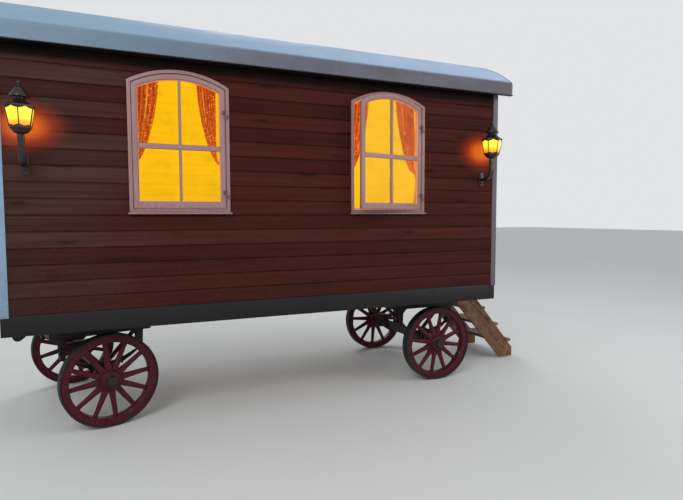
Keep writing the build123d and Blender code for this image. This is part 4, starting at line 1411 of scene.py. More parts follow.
@dataclass
class Cabin:
    """The boarded walls, their lit lining, floor, ceiling and corner boards."""

    shop: Workshop
    lining_t: float = 0.030
    lining_cover: float = 0.118
    clear: float = 0.0002
    roof_gap: float = 0.004
    door_half: float = 0.425
    door_top: float = 2.98
    floor_count: int = 14
    floor_t: float = 0.025
    bed_t: float = 0.028

    def window_spans(self, centres: Sequence[float], reach: float) -> Callable[[float], list[Span]]:
        """Bounds of a long wall's boards between its ends and its windows.

        An opening's half width is the arch's; below the sill and above the crown it is nothing, so
        that the boards meet at the window's middle.

        Args:
            centres: X of the windows.
            reach: Half the wall's length.

        Returns:
            A function from a board's lower edge to its bounds.
        """
        plan, clear = PLAN, self.clear

        def half(z: np.ndarray) -> np.ndarray:
            """Half the opening at each height."""
            open_here = (z > plan.sill_z - clear) & (z < plan.window_top + clear)
            return np.where(open_here, plan.arch_half(z, -clear), 0.0)

        def spans(low: float) -> list[Span]:
            """The pieces of the board whose lower edge is at low.

            Args:
                low: The board's lower edge.

            Returns:
                The pieces' bounds.
            """
            ends = [steady(-reach)]
            if plan.sill_z - plan.board_cover * 1.01 <= low <= plan.window_top:
                for x in centres:
                    ends += [lambda z, x=x: x - half(z), lambda z, x=x: x + half(z)]
            ends.append(steady(reach))
            return list(zip(ends[::2], ends[1::2]))

        return spans

    def gable_spans(self, doorway: bool, half_width: float) -> Callable[[float], list[Span]]:
        """Bounds of an end wall's boards under the barrel and beside the doorway.

        The half width is the root of the barrel's inner radius squared less the height over its
        centre squared, and no more than the wall's own.

        Args:
            doorway: Whether the wall has the doorway.
            half_width: Half the wall's width.

        Returns:
            A function from a board's lower edge to its bounds.
        """
        plan = PLAN
        radius = plan.roof_r - plan.roof_t - self.roof_gap

        def outer(z: np.ndarray) -> np.ndarray:
            """Half the wall's width at each height."""
            return np.minimum(half_width, np.sqrt(np.clip(radius**2 - (z - plan.roof_cz) ** 2, 0, None)))

        def door(z: np.ndarray) -> np.ndarray:
            """Half the doorway at each height."""
            return np.where((z > plan.floor_top) & (z < self.door_top), self.door_half, 0.0)

        def spans(low: float) -> list[Span]:
            """The pieces of the board whose lower edge is at low.

            Args:
                low: The board's lower edge.

            Returns:
                The pieces' bounds.
            """
            if not doorway or low > self.door_top:
                return [(lambda z: -outer(z), outer)]
            return [(lambda z: -outer(z), lambda z: -door(z)), (door, outer)]

        return spans

    def boarded(self, name: str, node: str, seed: int, faces: tuple[float, float],
                heights: tuple[Sequence[float], Sequence[float]], spans: tuple[Callable, Callable],
                extra: Sequence[float], places: tuple[Callable, Callable]) -> None:
        """Outside boards and inside lining of one wall; each pair is for the boards, then the lining.

        Args:
            name: The wall's name.
            node: The CAD node of the wall.
            seed: Seed of its boards.
            faces: How far the two faces lie from the hut's middle.
            heights: Lower edges of the rows, and the top of the last.
            spans: The rows' bounds.
            extra: Heights at which an opening or the roof's curve needs points.
            places: From wall coordinates to hut coordinates.
        """
        outside = BoardedWall(faces[0], seed=seed)
        inside = BoardedWall(-faces[1], self.lining_t, round_over=0.003, groove=0.004, groove_depth=0.004,
                             seed=seed + 5)
        for k, (word, wall, finish) in enumerate((("boarding", outside, BOARDS), ("lining", inside, LINING))):
            self.shop.piece(f"{word}_{name}", wall.rows(heights[k], spans[k], extra), finish, node,
                            move=places[k])

    def long_wall(self, name: str, side: Side, centres: Sequence[float], seed: int) -> None:
        """One long wall: its wall coordinates only change the sign of Y.

        Args:
            name: The wall's name.
            side: Its side.
            centres: X of its windows.
            seed: Seed of its boards.
        """
        plan = PLAN
        roof = plan.roof_z(plan.half_y) - self.roof_gap
        heights = [plan.board_z + k * plan.board_cover for k in range(plan.board_count + 1)] + [roof]
        count = int((roof + 0.07 - plan.floor_top) / self.lining_cover)
        rows = [plan.floor_top + k * self.lining_cover for k in range(count + 1)]
        rows.append(plan.roof_z(plan.inner_y) - 0.006)
        sill, crown = plan.sill_z - self.clear, plan.window_top + self.clear
        extra = [sill - 0.0001, sill + 0.0001, crown + 0.0002,
                 *curve_heights(crown - 0.00005, plan.window_rise + 0.01)]
        spans = self.window_spans(centres, plan.half_x), self.window_spans(centres, plan.end_in - 0.001)
        places = tuple(lambda p, s=s: p * np.array([1.0, s * side.value, 1.0]) for s in (1, -1))
        self.boarded(name, f"wall_{name}", seed, (plan.half_y, plan.inner_y), (heights, rows), spans, extra,
                     places)

    def end_wall(self, name: str, sign: int, doorway: bool, seed: int) -> None:
        """One end wall: its wall coordinates run along Y, and outwards along X.

        Args:
            name: The wall's name.
            sign: Which end it closes.
            doorway: Whether the doorway is in it.
            seed: Seed of its boards.
        """
        plan = PLAN
        crown = plan.roof_cz + plan.roof_r - plan.roof_t - self.roof_gap
        heights = [plan.board_z + k * plan.board_cover for k in range(plan.board_count + 3)] + [crown]
        rows = np.arange(plan.floor_top, crown - 0.02, self.lining_cover).tolist() + [crown]
        extra = [z + d for z in (plan.floor_top, self.door_top) for d in (-0.0001, 0.0001)] if doorway else []
        extra += curve_heights(crown - 0.0001, 0.285, 30)
        spans = self.gable_spans(doorway, plan.inner_y), self.gable_spans(doorway, plan.inner_y - 0.001)
        places = tuple(lambda p, s=s: coords(s * p[:, 1], p[:, 0], p[:, 2]) for s in (sign, -sign))
        self.boarded(name, f"wall_{name}", seed, (plan.end_face, plan.end_in), (heights, rows), spans, extra,
                     places)

    def floor(self) -> None:
        """Floor boards along the cabin, on the floor's own thickness."""
        half, end = PLAN.inner_y - 0.001, PLAN.end_in - 0.001
        width, top, bed = 2 * half / self.floor_count, PLAN.floor_top, PLAN.floor_top - self.floor_t
        skin = Skin()
        for k in range(self.floor_count):
            skin.join(beam(Axis.X, (-end, end), (-half + (k + 0.5) * width, (top + bed) / 2), width - 0.001,
                           self.floor_t, 0.002, tone=shade(k, 0.2, 0.8), seed=k))
        skin.join(beam(Axis.X, (-end, end), (0, bed - self.bed_t / 2), 2 * half, self.bed_t, 0.002))
        self.shop.piece("floor_boards", skin, FLOOR_BOARDS, "cabin_floor")

    def ceiling(self) -> None:
        """Lining under the barrel: boards along the hut, each a narrow piece of the inner arc.

        Points lie at the barrel's centre plus its radius times sine and cosine; the radius grows in
        the joints between boards.
        """
        plan, joints = PLAN, 18
        inner = plan.roof_r - plan.roof_t
        swing = math.asin((plan.inner_y - 0.002) / inner)
        share = np.array([0.0, 0.02, 0.04, 0.5, 0.96, 0.98])
        angle = -swing + 2 * swing * (np.arange(joints)[:, None] + share).ravel() / joints
        under = inner - 0.016 + np.tile([0.004, 0.002, 0, 0, 0, 0.002], joints)
        x = np.linspace(-plan.end_in + 0.032, plan.end_in - 0.032, 6)[:, None]
        low, high = (coords(x, r * np.sin(angle), plan.roof_cz + r * np.cos(angle))
                     for r in (under, inner - 0.003))
        edge = np.concatenate([np.tile([1, 0.6, 0, 0, 0, 0.6], joints), np.zeros(len(angle))])
        skin = Skin().grid(np.concatenate([low, high[:, ::-1]], axis=1), caps=Caps.PAIRS, edge=edge)
        self.shop.piece("ceiling_boards", skin, LINING)

    def corners(self) -> None:
        """White corner boards with their screws: an outer board on each face round a post."""
        plan, skin, x = PLAN, Skin(), PLAN.body_half - 0.03
        outer_y = plan.half_y + 0.008
        roof = plan.roof_z(outer_y) - self.roof_gap
        z = np.arange(1.12, 3.04, 0.27)
        for sx in BOTH:
            for sy in BOTH:
                seed = sx * 2 + sy + 10
                skin.join(beam(Axis.Z, (plan.board_z - 0.015, roof), (sx * x, sy * (outer_y - 0.0085)), 0.06,
                               0.017, 0.003, stations=20, tone=0.5 + 0.1 * sx * sy, seed=seed),
                          beam(Axis.Z, (plan.board_z, roof), (sx * x, sy * 1.0005), 0.0598, 0.081, 0.003,
                               stations=20, tone=0.45, seed=seed + 5),
                          studs(coords(sx * x, sy * outer_y, z), (0, sy, 0), 0.0045, 0.0015),
                          studs(coords(sx * plan.body_half, sy * 1.0, z), (sx, 0, 0), 0.0045, 0.0015))
        self.shop.piece("corner_boards", skin, TRIM, "corner_posts")

    def build(self) -> None:
        """Builds every piece of the cabin."""
        self.long_wall("near", Side.NEAR, (-PLAN.window_x, PLAN.window_x), 11)
        self.long_wall("far", Side.FAR, (PLAN.window_x,), 23)
        self.end_wall("front", -1, False, 37)
        self.end_wall("door_end", 1, True, 41)
        self.floor()
        self.ceiling()
        self.corners()


@dataclass
class BarrelRoof:
    """The barrel roof with its skirts, end fascias and drip strips."""

    shop: Workshop
    lip: float = 0.004
    stations: int = 60

    def outline(self, inset: float, edge_r: float, count: int = 90) -> np.ndarray:
        """Y-Z points from the near eave over the barrel to the far eave.

        The skirt is straight; a quarter-like arc of radius edge_r joins it to the barrel; the barrel
        is centre plus radius times sine and cosine. The far half mirrors the near half.

        Args:
            inset: How far the outline moves in.
            edge_r: Radius where skirt and barrel meet.
            count: Points on half of the barrel.

        Returns:
            Points shaped (n, 2).
        """
        half, radius = PLAN.eave_half - inset, PLAN.roof_r - inset
        centre_y = half - edge_r
        centre_z = PLAN.roof_cz + math.sqrt((radius - edge_r) ** 2 - centre_y**2)
        lean = math.atan2(centre_y, centre_z - PLAN.roof_cz)
        skirt = coords(half, np.linspace(PLAN.eave_z, centre_z, 9))
        turn = np.linspace(0, math.pi / 2 - lean, 11)[1:]
        bend = coords(centre_y + edge_r * np.cos(turn), centre_z + edge_r * np.sin(turn))
        swing = lean * (1 - np.linspace(0, 1, count)[1:])
        barrel = coords(radius * np.sin(swing), PLAN.roof_cz + radius * np.cos(swing))
        right = np.concatenate([skirt, bend, barrel])
        return np.concatenate([right, right[-2::-1] * np.array([-1.0, 1.0])])

    def lined(self, inset: float, share: float) -> np.ndarray:
        """The inner outline, kept under the one that lies inset below the barrel.

        Args:
            inset: How deep that one lies.
            share: Share of the skirt's height above which this holds.

        Returns:
            Points shaped (n, 2).
        """
        inner, over = self.outline(PLAN.skirt_t, 0.03), self.outline(inset, 0.03)
        top = inner[:, 1] > PLAN.eave_z + PLAN.skirt_h * share
        return coords(inner[:, 0], np.where(top, np.minimum(inner[:, 1], over[:, 1]), inner[:, 1]))

    def shell(self) -> None:
        """The barrel: an outer and an inner outline as one closed section, carried along X."""
        outer, inner = self.outline(0.0, PLAN.roof_edge), self.lined(PLAN.roof_t, 0.6)
        rise, bare = outer[:, 1] - PLAN.eave_z, np.zeros(len(inner))
        # Painted shade: the skirts' tone is darker than the barrel's.
        tone = np.concatenate([np.where(outer[:, 1] < 3.19, 0.42, 0.55), bare + 0.4])
        edge = np.concatenate([np.exp(-((rise / 0.01) ** 2)), bare])
        outer = outer + coords(self.lip * np.exp(-(((rise - 0.006) / 0.006) ** 2)) * np.sign(outer[:, 0]), 0.0)
        y, z = np.concatenate([outer, inner[::-1]]).T
        reach = PLAN.roof_half - PLAN.fascia_t
        x = np.linspace(-reach, reach, self.stations)[:, None]
        sag = np.concatenate([np.ones(len(outer)), bare]) * np.clip((z - 3.2) / 0.3, 0, 1)
        points = coords(x, y, z + 0.0016 * ripple(x, y[None] * 0.6, 5, 5) * sag)
        self.shop.piece("barrel_roof", Skin().grid(points, caps=Caps.PAIRS, tone=tone, edge=edge), ROOF_PAINT,
                        "roof_shell")

    def fascias(self) -> None:
        """A curved board at each end: the roof's outline and one drawn in, through its thickness."""
        r, skin = 0.004, Skin()
        outer, inner = self.outline(0.0, PLAN.roof_edge), self.lined(PLAN.fascia_h, 0.4)
        pull = r * unit(inner - outer)
        back, front = PLAN.roof_half - PLAN.fascia_t, PLAN.roof_half
        section = ((outer, back, 0.2), (outer, front - r, 0.5), (outer + pull, front, 1.0),
                   (inner - pull, front, 1.0), (inner, front - r, 0.5), (inner, back, 0.2))
        run = self.outline(0.05, 0.03)[12:-12:16]
        for sign in BOTH:
            points = np.stack([coords(sign * x, p[:, 0], p[:, 1]) for p, x, _ in section], axis=1)
            skin.grid(points, edge=[e for *_, e in section], tone=0.55)
            skin.join(studs(coords(sign * front, run[:, 0], run[:, 1]), (sign, 0, 0), 0.005, 0.0015))
        self.shop.piece("roof_end_boards", skin, TRIM, "roof_end_fascias")

    def build(self) -> None:
        """Builds the roof, and a dark drip strip under each skirt, standing a little proud."""
        self.shell()
        self.fascias()
        y, span = PLAN.eave_half - PLAN.skirt_t / 2 + 0.004, (-PLAN.roof_half, PLAN.roof_half)
        strips = Skin().join(*(beam(Axis.X, span, (s * y, PLAN.eave_z - 0.0042), 0.043, 0.008, 0.0025,
                                    stations=12)
                               for s in BOTH))
        self.shop.piece("drip_strips", strips, STEEL, "roof_drip_edges")


@dataclass
class OnWall:
    """Something on a long wall, worked out on the near one about X 0."""

    shop: Workshop
    name: str
    x: float
    side: Side
    away: ClassVar[float] = 0.0

    def place(self, points: np.ndarray) -> np.ndarray:
        """From the near wall about X 0 to its own place."""
        return shifted(points, self.x, self.away) * np.array([1.0, -self.side.value, 1.0])


def hinge_half(pin: tuple[float, float], leaf: float, axis: Axis, heights: Sequence[float], moving: bool,
               screwed: bool = True) -> Skin:
    """One half of each hinge: a knuckle about the pin, and a leaf that runs along an axis.

    Args:
        pin: X and Y of the pin.
        leaf: The other coordinate of the leaf's middle plane.
        axis: The leaf's direction.
        heights: Z of the hinges.
        moving: Whether this half turns.
        screwed: Whether screws show on the leaf.

    Returns:
        The halves' skin.
    """
    low, high, core, reach = (0.001, 0.036, 0.0041, -0.030) if moving else (-0.036, 0.0, 0.001, 0.026)
    out = np.array([0.0, -1.0, 0.0] if axis is Axis.X else [1.0, 0.0, 0.0])
    knuckle = [(core, low), (0.007, low), (0.008, low + 0.001), (0.008, high - 0.001), (0.007, high),
               (core, high)]
    skin = Skin()
    for z in heights:
        start = np.array([*pin, z + (low + high) / 2])
        root = start * (1 - np.abs(out)) + np.abs(out) * leaf
        run = np.eye(3)[axis.along] * reach
        skin.join(turned_form(knuckle, 16, at=(*pin, z)))
        if not moving:
            tip = [(0.001, 0.0), (0.0039, 0.0), (0.0039, 0.038), (0.003, 0.041), (0.001, 0.042)]
            skin.join(turned_form(tip, 12, at=(*pin, z)))
        screws = [root + run * share + out * 0.0012 + (0, 0, rise)
                  for share, rise in ((0.55, -0.009), (0.8, 0.009))]
        skin.join(bar(start, root + run * 0.25, 0.004, 0.034, 0.001, stations=3),
                  bar(root + run * 0.2, root + run, 0.0024, 0.034, 0.0008, stations=3))
        if screwed:
            skin.join(studs(screws, out, 0.003, 0.001))
    return skin


@dataclass
class Casement(OnWall):
    """One window: its frame, its casement with bars, and its panes."""

    opened: float
    pin: tuple[float, float] = (0.369, -1.070)
    face: float = 0.027
    frame_y: float = 1.062
    depth: float = 0.070
    stop_w: float = 0.020
    sash_y: float = 1.055
    sash_t: float = 0.040
    gap: float = 0.008
    stile: float = 0.045
    rail: float = 0.060
    cross_z: float = 0.534
    cross_w: float = 0.042
    upright_w: float = 0.022
    hinge_up: float = 0.150
    hinge_down: float = 0.330

    def swung(self, points: np.ndarray) -> np.ndarray:
        """The casement's own parts, turned open about the hinge pin and placed."""
        return self.place(spun(points, self.opened, centre=self.pin))

    def frame(self) -> Skin:
        """The frame: an L section with its stop, round the arch, a bead at its inner edge, and a sill drip.

        Returns:
            The frame's skin.
        """
        back, front = self.frame_y - self.depth, self.frame_y
        stop, inner = self.sash_y - self.sash_t - 0.005, self.face + self.stop_w
        section = [(0.0, back), (0.0, front), (self.face, front), (self.face, stop), (inner, stop),
                   (inner, back)]
        bead = [(0.0195, 1.0615), (0.0195, 1.0645), (0.0225, 1.0655), (0.0265, 1.0650), (0.0265, 1.0615)]
        return arch_ring(smooth_ring(section, 0.0025), tone=0.45).join(
            arch_ring(smooth_ring(bead, 0.0008), tone=1.0),
            beam(Axis.X, (-0.412, 0.412), (-1.066, PLAN.sill_z - 0.007), 0.030, 0.014, 0.003))

    def sash(self) -> Skin:
        """The casement: a moulded section round the arch, an upright bar and a broader cross bar.

        Returns:
            The casement's skin.
        """
        a = self.face + self.gap
        b = a + self.stile
        front, back = self.sash_y, self.sash_y - self.sash_t
        lip = a - self.gap + 0.003
        ovolo = [(a, back), (a, front - 0.014), (lip, front - 0.012), (lip, front - 0.003), (a + 0.004, front),
                 (b - 0.010, front), (b - 0.009, front - 0.004), (b - 0.002, front - 0.009), (b, front - 0.012),
                 (b, back)]
        section = smooth_ring(ovolo, 0.0016)
        section[:, 1] = a + (section[:, 0] - a) * self.rail / self.stile
        mid = -(front + back) / 2
        low, high = PLAN.sill_z + a + self.rail, PLAN.window_top - b
        return arch_ring(section, tone=0.55).join(
            beam(Axis.X, (-0.325, 0.325), (mid, PLAN.sill_z + self.cross_z), self.sash_t - 0.006, self.cross_w,
                 0.005, tone=0.6, seed=3),
            beam(Axis.Z, (low - 0.004, high + 0.004), (0, mid), self.upright_w, self.sash_t - 0.010, 0.005,
                 seed=4))

    def build(self) -> None:
        """Builds the window on its bodies."""
        shop, name, body = self.shop, self.name, f"casement_{self.name}"
        heights = PLAN.sill_z + self.hinge_up, PLAN.window_top - self.hinge_down
        still = hinge_half(self.pin, -self.frame_y - 0.0012, Axis.X, heights, False)
        moving = hinge_half(self.pin, -self.sash_y - 0.0012, Axis.X, heights, True)
        # The open window's frame takes painted cabin light on its rebate.
        paint = OPEN_FRAME_PAINT if self.opened else FRAME_PAINT
        shop.piece(f"window_frame_{name}", self.frame(), paint, "window_frames", move=self.place)
        shop.piece(f"window_hinges_{name}", still, HINGE_PAINT, "window_frames", move=self.place)
        shop.piece(f"sash_{name}", self.sash(), FRAME_PAINT, body, body, self.swung)
        shop.piece(f"sash_hinges_{name}", moving, HINGE_PAINT, body, body, self.swung)
        shop.refinish(f"casement_glass_{name}", GLASS)


@dataclass
class Curtains(OnWall):
    """A pair of gathered curtains on a rod, behind one window."""

    finish: Finish
    outer: tuple[float, float]
    seed: int
    inner: tuple[float, ...] = (0.145, 0.165, 0.195, 0.240, 0.300, 0.345, 0.385, 0.372, 0.350)
    inner_z: tuple[float, ...] = (2.96, 2.75, 2.58, 2.40, 2.26, 2.20, 2.14, 2.00, 1.73)
    hook: float = 2.17
    flat: tuple[float, float] = (0.50, 1.28)
    folds: int = 7
    depth: float = 0.0175
    rod_y: float = -(PLAN.inner_y - 0.040)
    rod_z: float = PLAN.window_top + 0.0393

    def cloth(self, sign: int) -> np.ndarray:
        """One curtain as a surface of u across and v down.

        Its inner edge runs smoothly through the widths from the rod to the hook beside the window and
        on to the hem; its outer edge hangs straight and is drawn out to the hook. Across it the cloth
        folds forwards and back as a sine of u whose phase wanders with v, and the hem dips.

        Args:
            sign: -1 for the left curtain, 1 for the right one.

        Returns:
            Points shaped (down, across, 3).
        """
        top, low, seed = PLAN.window_top + 0.028, PLAN.sill_z - 0.088, self.seed
        v, u = np.linspace(0, 1, 90)[:, None], np.linspace(0, 1, 150)[None, :]
        z = top + (low - top) * v
        kernel = np.hanning(9) / np.hanning(9).sum()
        inner = np.interp(z[:, 0], self.inner_z[::-1], self.inner[::-1])
        inner = np.convolve(np.pad(inner, 4, mode="edge"), kernel, mode="valid")[:, None]
        loose = self.outer[(sign + 1) // 2]
        outer = loose + (0.43 - loose) / (1 + np.exp((z - self.hook - 0.06) / 0.02))
        rng = np.random.default_rng(seed + sign)
        wander = 0.5 * np.sin(2.2 * v * math.pi + rng.uniform(0, 6))
        wander = wander + 0.9 * ripple(u * 0.6, v * 0.35, seed + sign, 3)
        phase = 2 * math.pi * self.folds * u + wander
        depth = self.depth * (0.8 + 0.2 * np.sin(3 * u * math.pi + 1 + seed))
        across = u + 0.05 * np.sin(2 * phase) / self.folds
        pull = 0.045 * np.exp(-(((z - self.hook) / 0.05) ** 2)) * u
        hem = 0.010 * np.sin(5 * u + seed) * np.clip((v - 0.9) / 0.1, 0, 1)
        return coords(sign * (outer + (inner - outer) * across), self.rod_y + depth * np.sin(phase),
                      z + pull + hem)

    def hang(self, sign: int, word: str) -> None:
        """Args:
            sign: -1 for the left curtain, 1 for the right one.
            word: Its word in the piece's name.
        """
        points = self.cloth(sign)
        rows, cols = points.shape[:2]
        flat = coords(np.linspace(0, self.flat[0], cols)[None, :], np.linspace(0, self.flat[1], rows)[:, None],
                      0.0)
        # The edge attribute carries how far back in its folds each point lies, for the cloth's painted fold
        # shade.
        depth = (points[..., 1] - points[..., 1].min()) / np.ptp(points[..., 1])
        skin = Skin().grid(points, wrap=False, caps=Caps.OPEN, grain=flat, edge=depth)
        sheet = self.shop.piece(f"curtain_{self.name}_{word}", skin, self.finish, "curtains", move=self.place,
                                sharp=180)
        thick = sheet.modifiers.new("thickness", "SOLIDIFY")
        thick.thickness, thick.offset = 0.0012, 0.0

    def rod(self) -> None:
        """The rod with turned ends, its two brackets and a row of rings."""
        y, z, wall = self.rod_y, self.rod_z, -PLAN.inner_y
        skin = tube(coords(np.linspace(-0.445, 0.445, 12), y, z), 0.0088)
        knob = np.array([(0.001, 0.0), (0.008, 0.0), (0.0085, 0.003), (0.006, 0.005), (0.0088, 0.009),
                         (0.0088, 0.012), (0.005, 0.0148), (0.001, 0.015)])
        ring = np.array([0.0093, 0.0108, 0.0108, 0.0093]), np.array([-0.001, -0.001, 0.001, 0.001])
        for sign in BOTH:
            skin.join(turned_form(knob * (1, sign), 20, Axis.X, at=(sign * 0.444, y, z)),
                      beam(Axis.Y, (wall, y), (sign * 0.432, z - 0.004), 0.014, 0.008, 0.002, stations=3))
            loose = self.outer[(sign + 1) // 2] - 0.008
            places = sign * np.linspace(loose, self.inner[0] + 0.012, 9)
            skin.join(*(hoop(*ring, 20, Axis.X, (x, y, z)) for x in places))
        self.shop.piece(f"curtain_rod_{self.name}", skin, BRASS, "curtain_rods", move=self.place)

    def build(self) -> None:
        """Builds the rod and both curtains."""
        self.rod()
        self.hang(-1, "left")
        self.hang(1, "right")


@dataclass
class WallLantern(OnWall):
    """A six-sided wall lantern with a corner to the front, on a bracket that turns up from the wall."""

    out: float = 0.165
    low: float = PLAN.lantern_low
    high: float = PLAN.lantern_high
    base_r: float = 0.074
    top_r: float = 0.100
    stem: float = 0.255
    bend: float = 0.090
    away: ClassVar[float] = -(PLAN.half_y + out)

    def radius(self, z: object) -> object:
        """The glass's radius over its corners at a height."""
        return self.base_r + (self.top_r - self.base_r) * (z - self.low) / (self.high - self.low)

    @staticmethod
    def six(angle: np.ndarray) -> np.ndarray:
        """A hexagon's radius, 1 at its corners: the cosine of 30 degrees over that of each side's own angle."""
        return math.cos(math.pi / 6) / np.cos(angle % (math.pi / 3) - math.pi / 6)

    def turned_six(self, table: object, lift: float = 0.0, sides: int = 96, hollow: bool = False) -> Skin:
        """A form about the lantern's middle whose rings run from six-sided to round, a corner pointing to -Y.

        Args:
            table: Radius, height, corner share and edge share of each ring.
            lift: Added to the heights.
            sides: Points in each ring.
            hollow: Whether the last ring joins the first.

        Returns:
            The form's skin.
        """
        radius, z, corner, edge = (column[:, None] for column in np.asarray(table, float).T)
        angle = around(sides)
        r = radius * (self.six(angle) * corner + 1 - corner)
        turn = angle + math.pi / 6
        return Skin().grid(coords(r * np.cos(turn), r * np.sin(turn), z + lift), loop=hollow, edge=edge)

    def cage(self) -> Skin:
        """Corner bars, a scalloped upper rim and a wavy lower rim.

        A rim is a thin band round the hexagon; its free edge rises and falls as the absolute cosine
        of a few lobes on each side.

        Returns:
            The cage's skin.
        """
        skin, low, high = Skin(), self.low, self.high
        for turn in around(6) + math.pi / 6:
            out = coords(math.cos(turn), math.sin(turn), 0.0)
            ends = (self.radius(z) * out + (0, 0, z) for z in (low - 0.004, high + 0.004))
            skin.join(bar(*ends, 0.0075, 0.006, 0.0018, up=out, stations=4))
        angle = around(180)
        lobes, turn = np.abs(np.cos(angle * 3)), angle + math.pi / 6
        rims = (high + 0.006, high - 0.003 - 0.016 * lobes), (low + 0.003 + 0.008 * lobes, low - 0.004)
        for upper, lower in rims:
            rings = []
            for grow, z in ((1.003, upper), (1.028, upper), (1.028, lower), (1.003, lower)):
                r = self.radius(z) * grow * self.six(angle)
                rings.append(coords(r * np.cos(turn), r * np.sin(turn), z))
            skin.grid(np.stack(rings, axis=1), loop=True, caps=Caps.OPEN, tone=0.6, edge=0.5)
        return skin

    def hood(self) -> Skin:
        """The flared hood with six ribs, and the ribbed vent dome on it, its neck and its ball.

        Returns:
            The hood's skin.
        """
        z = self.high + 0.0003
        brim = [(0.020, 0.006, 1, 0), (0.098, 0.003, 1, 0.3), (0.1035, 0.000, 1, 1), (0.1045, 0.003, 1, 1),
                (0.103, 0.0075, 1, 0.8), (0.092, 0.0125, 1, 0.2), (0.076, 0.020, 1, 0.1),
                (0.064, 0.028, 0.9, 0.1), (0.055, 0.037, 0.7, 0.2), (0.047, 0.047, 0.5, 0.5),
                (0.043, 0.053, 0.3, 0.8), (0.034, 0.0545, 0.2, 0.2)]
        rib = np.array([(0.1035, 0.0065), (0.092, 0.0135), (0.076, 0.0212), (0.064, 0.0292), (0.054, 0.0385),
                        (0.046, 0.0490)])
        dome = [(0.030, 0.048), (0.036, 0.050), (0.0345, 0.060), (0.036, 0.0655), (0.060, 0.0660),
                (0.0655, 0.0680), (0.0660, 0.0705), (0.0652, 0.0735), (0.0640, 0.0760), (0.0620, 0.0815),
                (0.0575, 0.0895), (0.0540, 0.0955), (0.0470, 0.1050), (0.0390, 0.1165), (0.0290, 0.1315),
                (0.0190, 0.1415), (0.0120, 0.1460), (0.0088, 0.1500), (0.0082, 0.1560), (0.0105, 0.1585),
                (0.0150, 0.1630), (0.0160, 0.1680), (0.0145, 0.1740), (0.0100, 0.1800), (0.0060, 0.1845),
                (0.0045, 0.1875), (0.0010, 0.1880)]
        skin = self.turned_six(brim, z)
        for turn in around(6) + math.pi / 6:
            skin.join(tube(coords(rib[:, 0] * math.cos(turn), rib[:, 0] * math.sin(turn), z + rib[:, 1]),
                           0.0024, 8))
        return skin.join(turned_form(dome, 48, at=(0, 0, z)))

    def dish(self) -> Skin:
        """The dish below the glass, from a round neck to a six-sided rim."""
        table = [(0.014, -0.0515, 0, 0.2), (0.0215, -0.0515, 0, 0.8), (0.024, -0.0475, 0, 0.3),
                 (0.034, -0.0435, 0.1, 0.1), (0.047, -0.0400, 0.3, 0.4), (0.0495, -0.0375, 0.4, 0.7),
                 (0.060, -0.0265, 0.7, 0.1), (0.0705, -0.0130, 0.9, 0.1), (0.0765, -0.0075, 1, 0.8),
                 (0.0780, -0.0045, 1, 1), (0.0775, -0.0008, 1, 0.8), (0.0700, -0.0004, 1, 0.2)]
        return self.turned_six(table, self.low - 0.0003)

    def bracket(self) -> Skin:
        """The stem: a rounded strap carried down from the dish, round a quarter bend and to the wall.

        The path is a straight drop, then bend centre plus radius times cosine and sine, then a straight
        run; the section is a rounded rectangle square to it.

        Returns:
            The bracket's skin.
        """
        bend, foot = self.bend, self.low - self.stem
        drop, run = np.linspace(self.low - 0.053, foot + bend, 7), np.linspace(bend, self.out - 0.005, 4)[1:]
        turn = np.linspace(0, math.pi / 2, 12)[1:]
        y = np.concatenate([0 * drop, bend - bend * np.cos(turn), run])
        z = np.concatenate([drop, foot + bend - bend * np.sin(turn), 0 * run + foot])
        direction = unit(np.gradient(coords(y, z), axis=0))
        ring, edge = rounded(0.044, 0.030, 0.008)
        swell = 1 + 0.12 * np.exp(-(((z - self.low + 0.075) / 0.02) ** 2))[:, None]
        across, through = ring.T[:, None] * swell
        points = coords(across, y[:, None] + through * direction[:, 1:],
                        z[:, None] - through * direction[:, :1])
        wall = self.out - 0.0052
        return Skin().grid(points, edge=edge).join(
            beam(Axis.Z, (foot - 0.075, foot + 0.075), (0, wall), 0.054, 0.0095, 0.003, stations=6),
            beam(Axis.Z, (foot - 0.045, foot + 0.045), (0, wall - 0.005), 0.040, 0.010, 0.003, stations=4),
            studs([(0, wall - 0.0045, foot + rise) for rise in (0.063, -0.063)], (0, -1, 0), 0.006, 0.003, 12))

    def panes(self) -> Skin:
        """Six panes as one hollow six-sided form.

        Returns:
            The panes' skin.
        """
        z = np.linspace(self.low, self.high, 10)
        outer, inner = (coords(self.radius(z) - inset, z, 1.0, 0.0) for inset in (0.0004, 0.004))
        return self.turned_six(np.concatenate([outer, inner[::-1]]), sides=72, hollow=True)

    def build(self) -> None:
        """Builds the lantern's metal and its panes."""
        metal = self.cage().join(self.hood(), self.dish(), self.bracket())
        self.shop.piece(f"lantern_{self.name}", metal, LANTERN_METAL, "lantern_metal", move=self.place,
                        sharp=32)
        self.shop.piece(f"lantern_panes_{self.name}", self.panes(), AMBER, "lantern_glass", move=self.place)


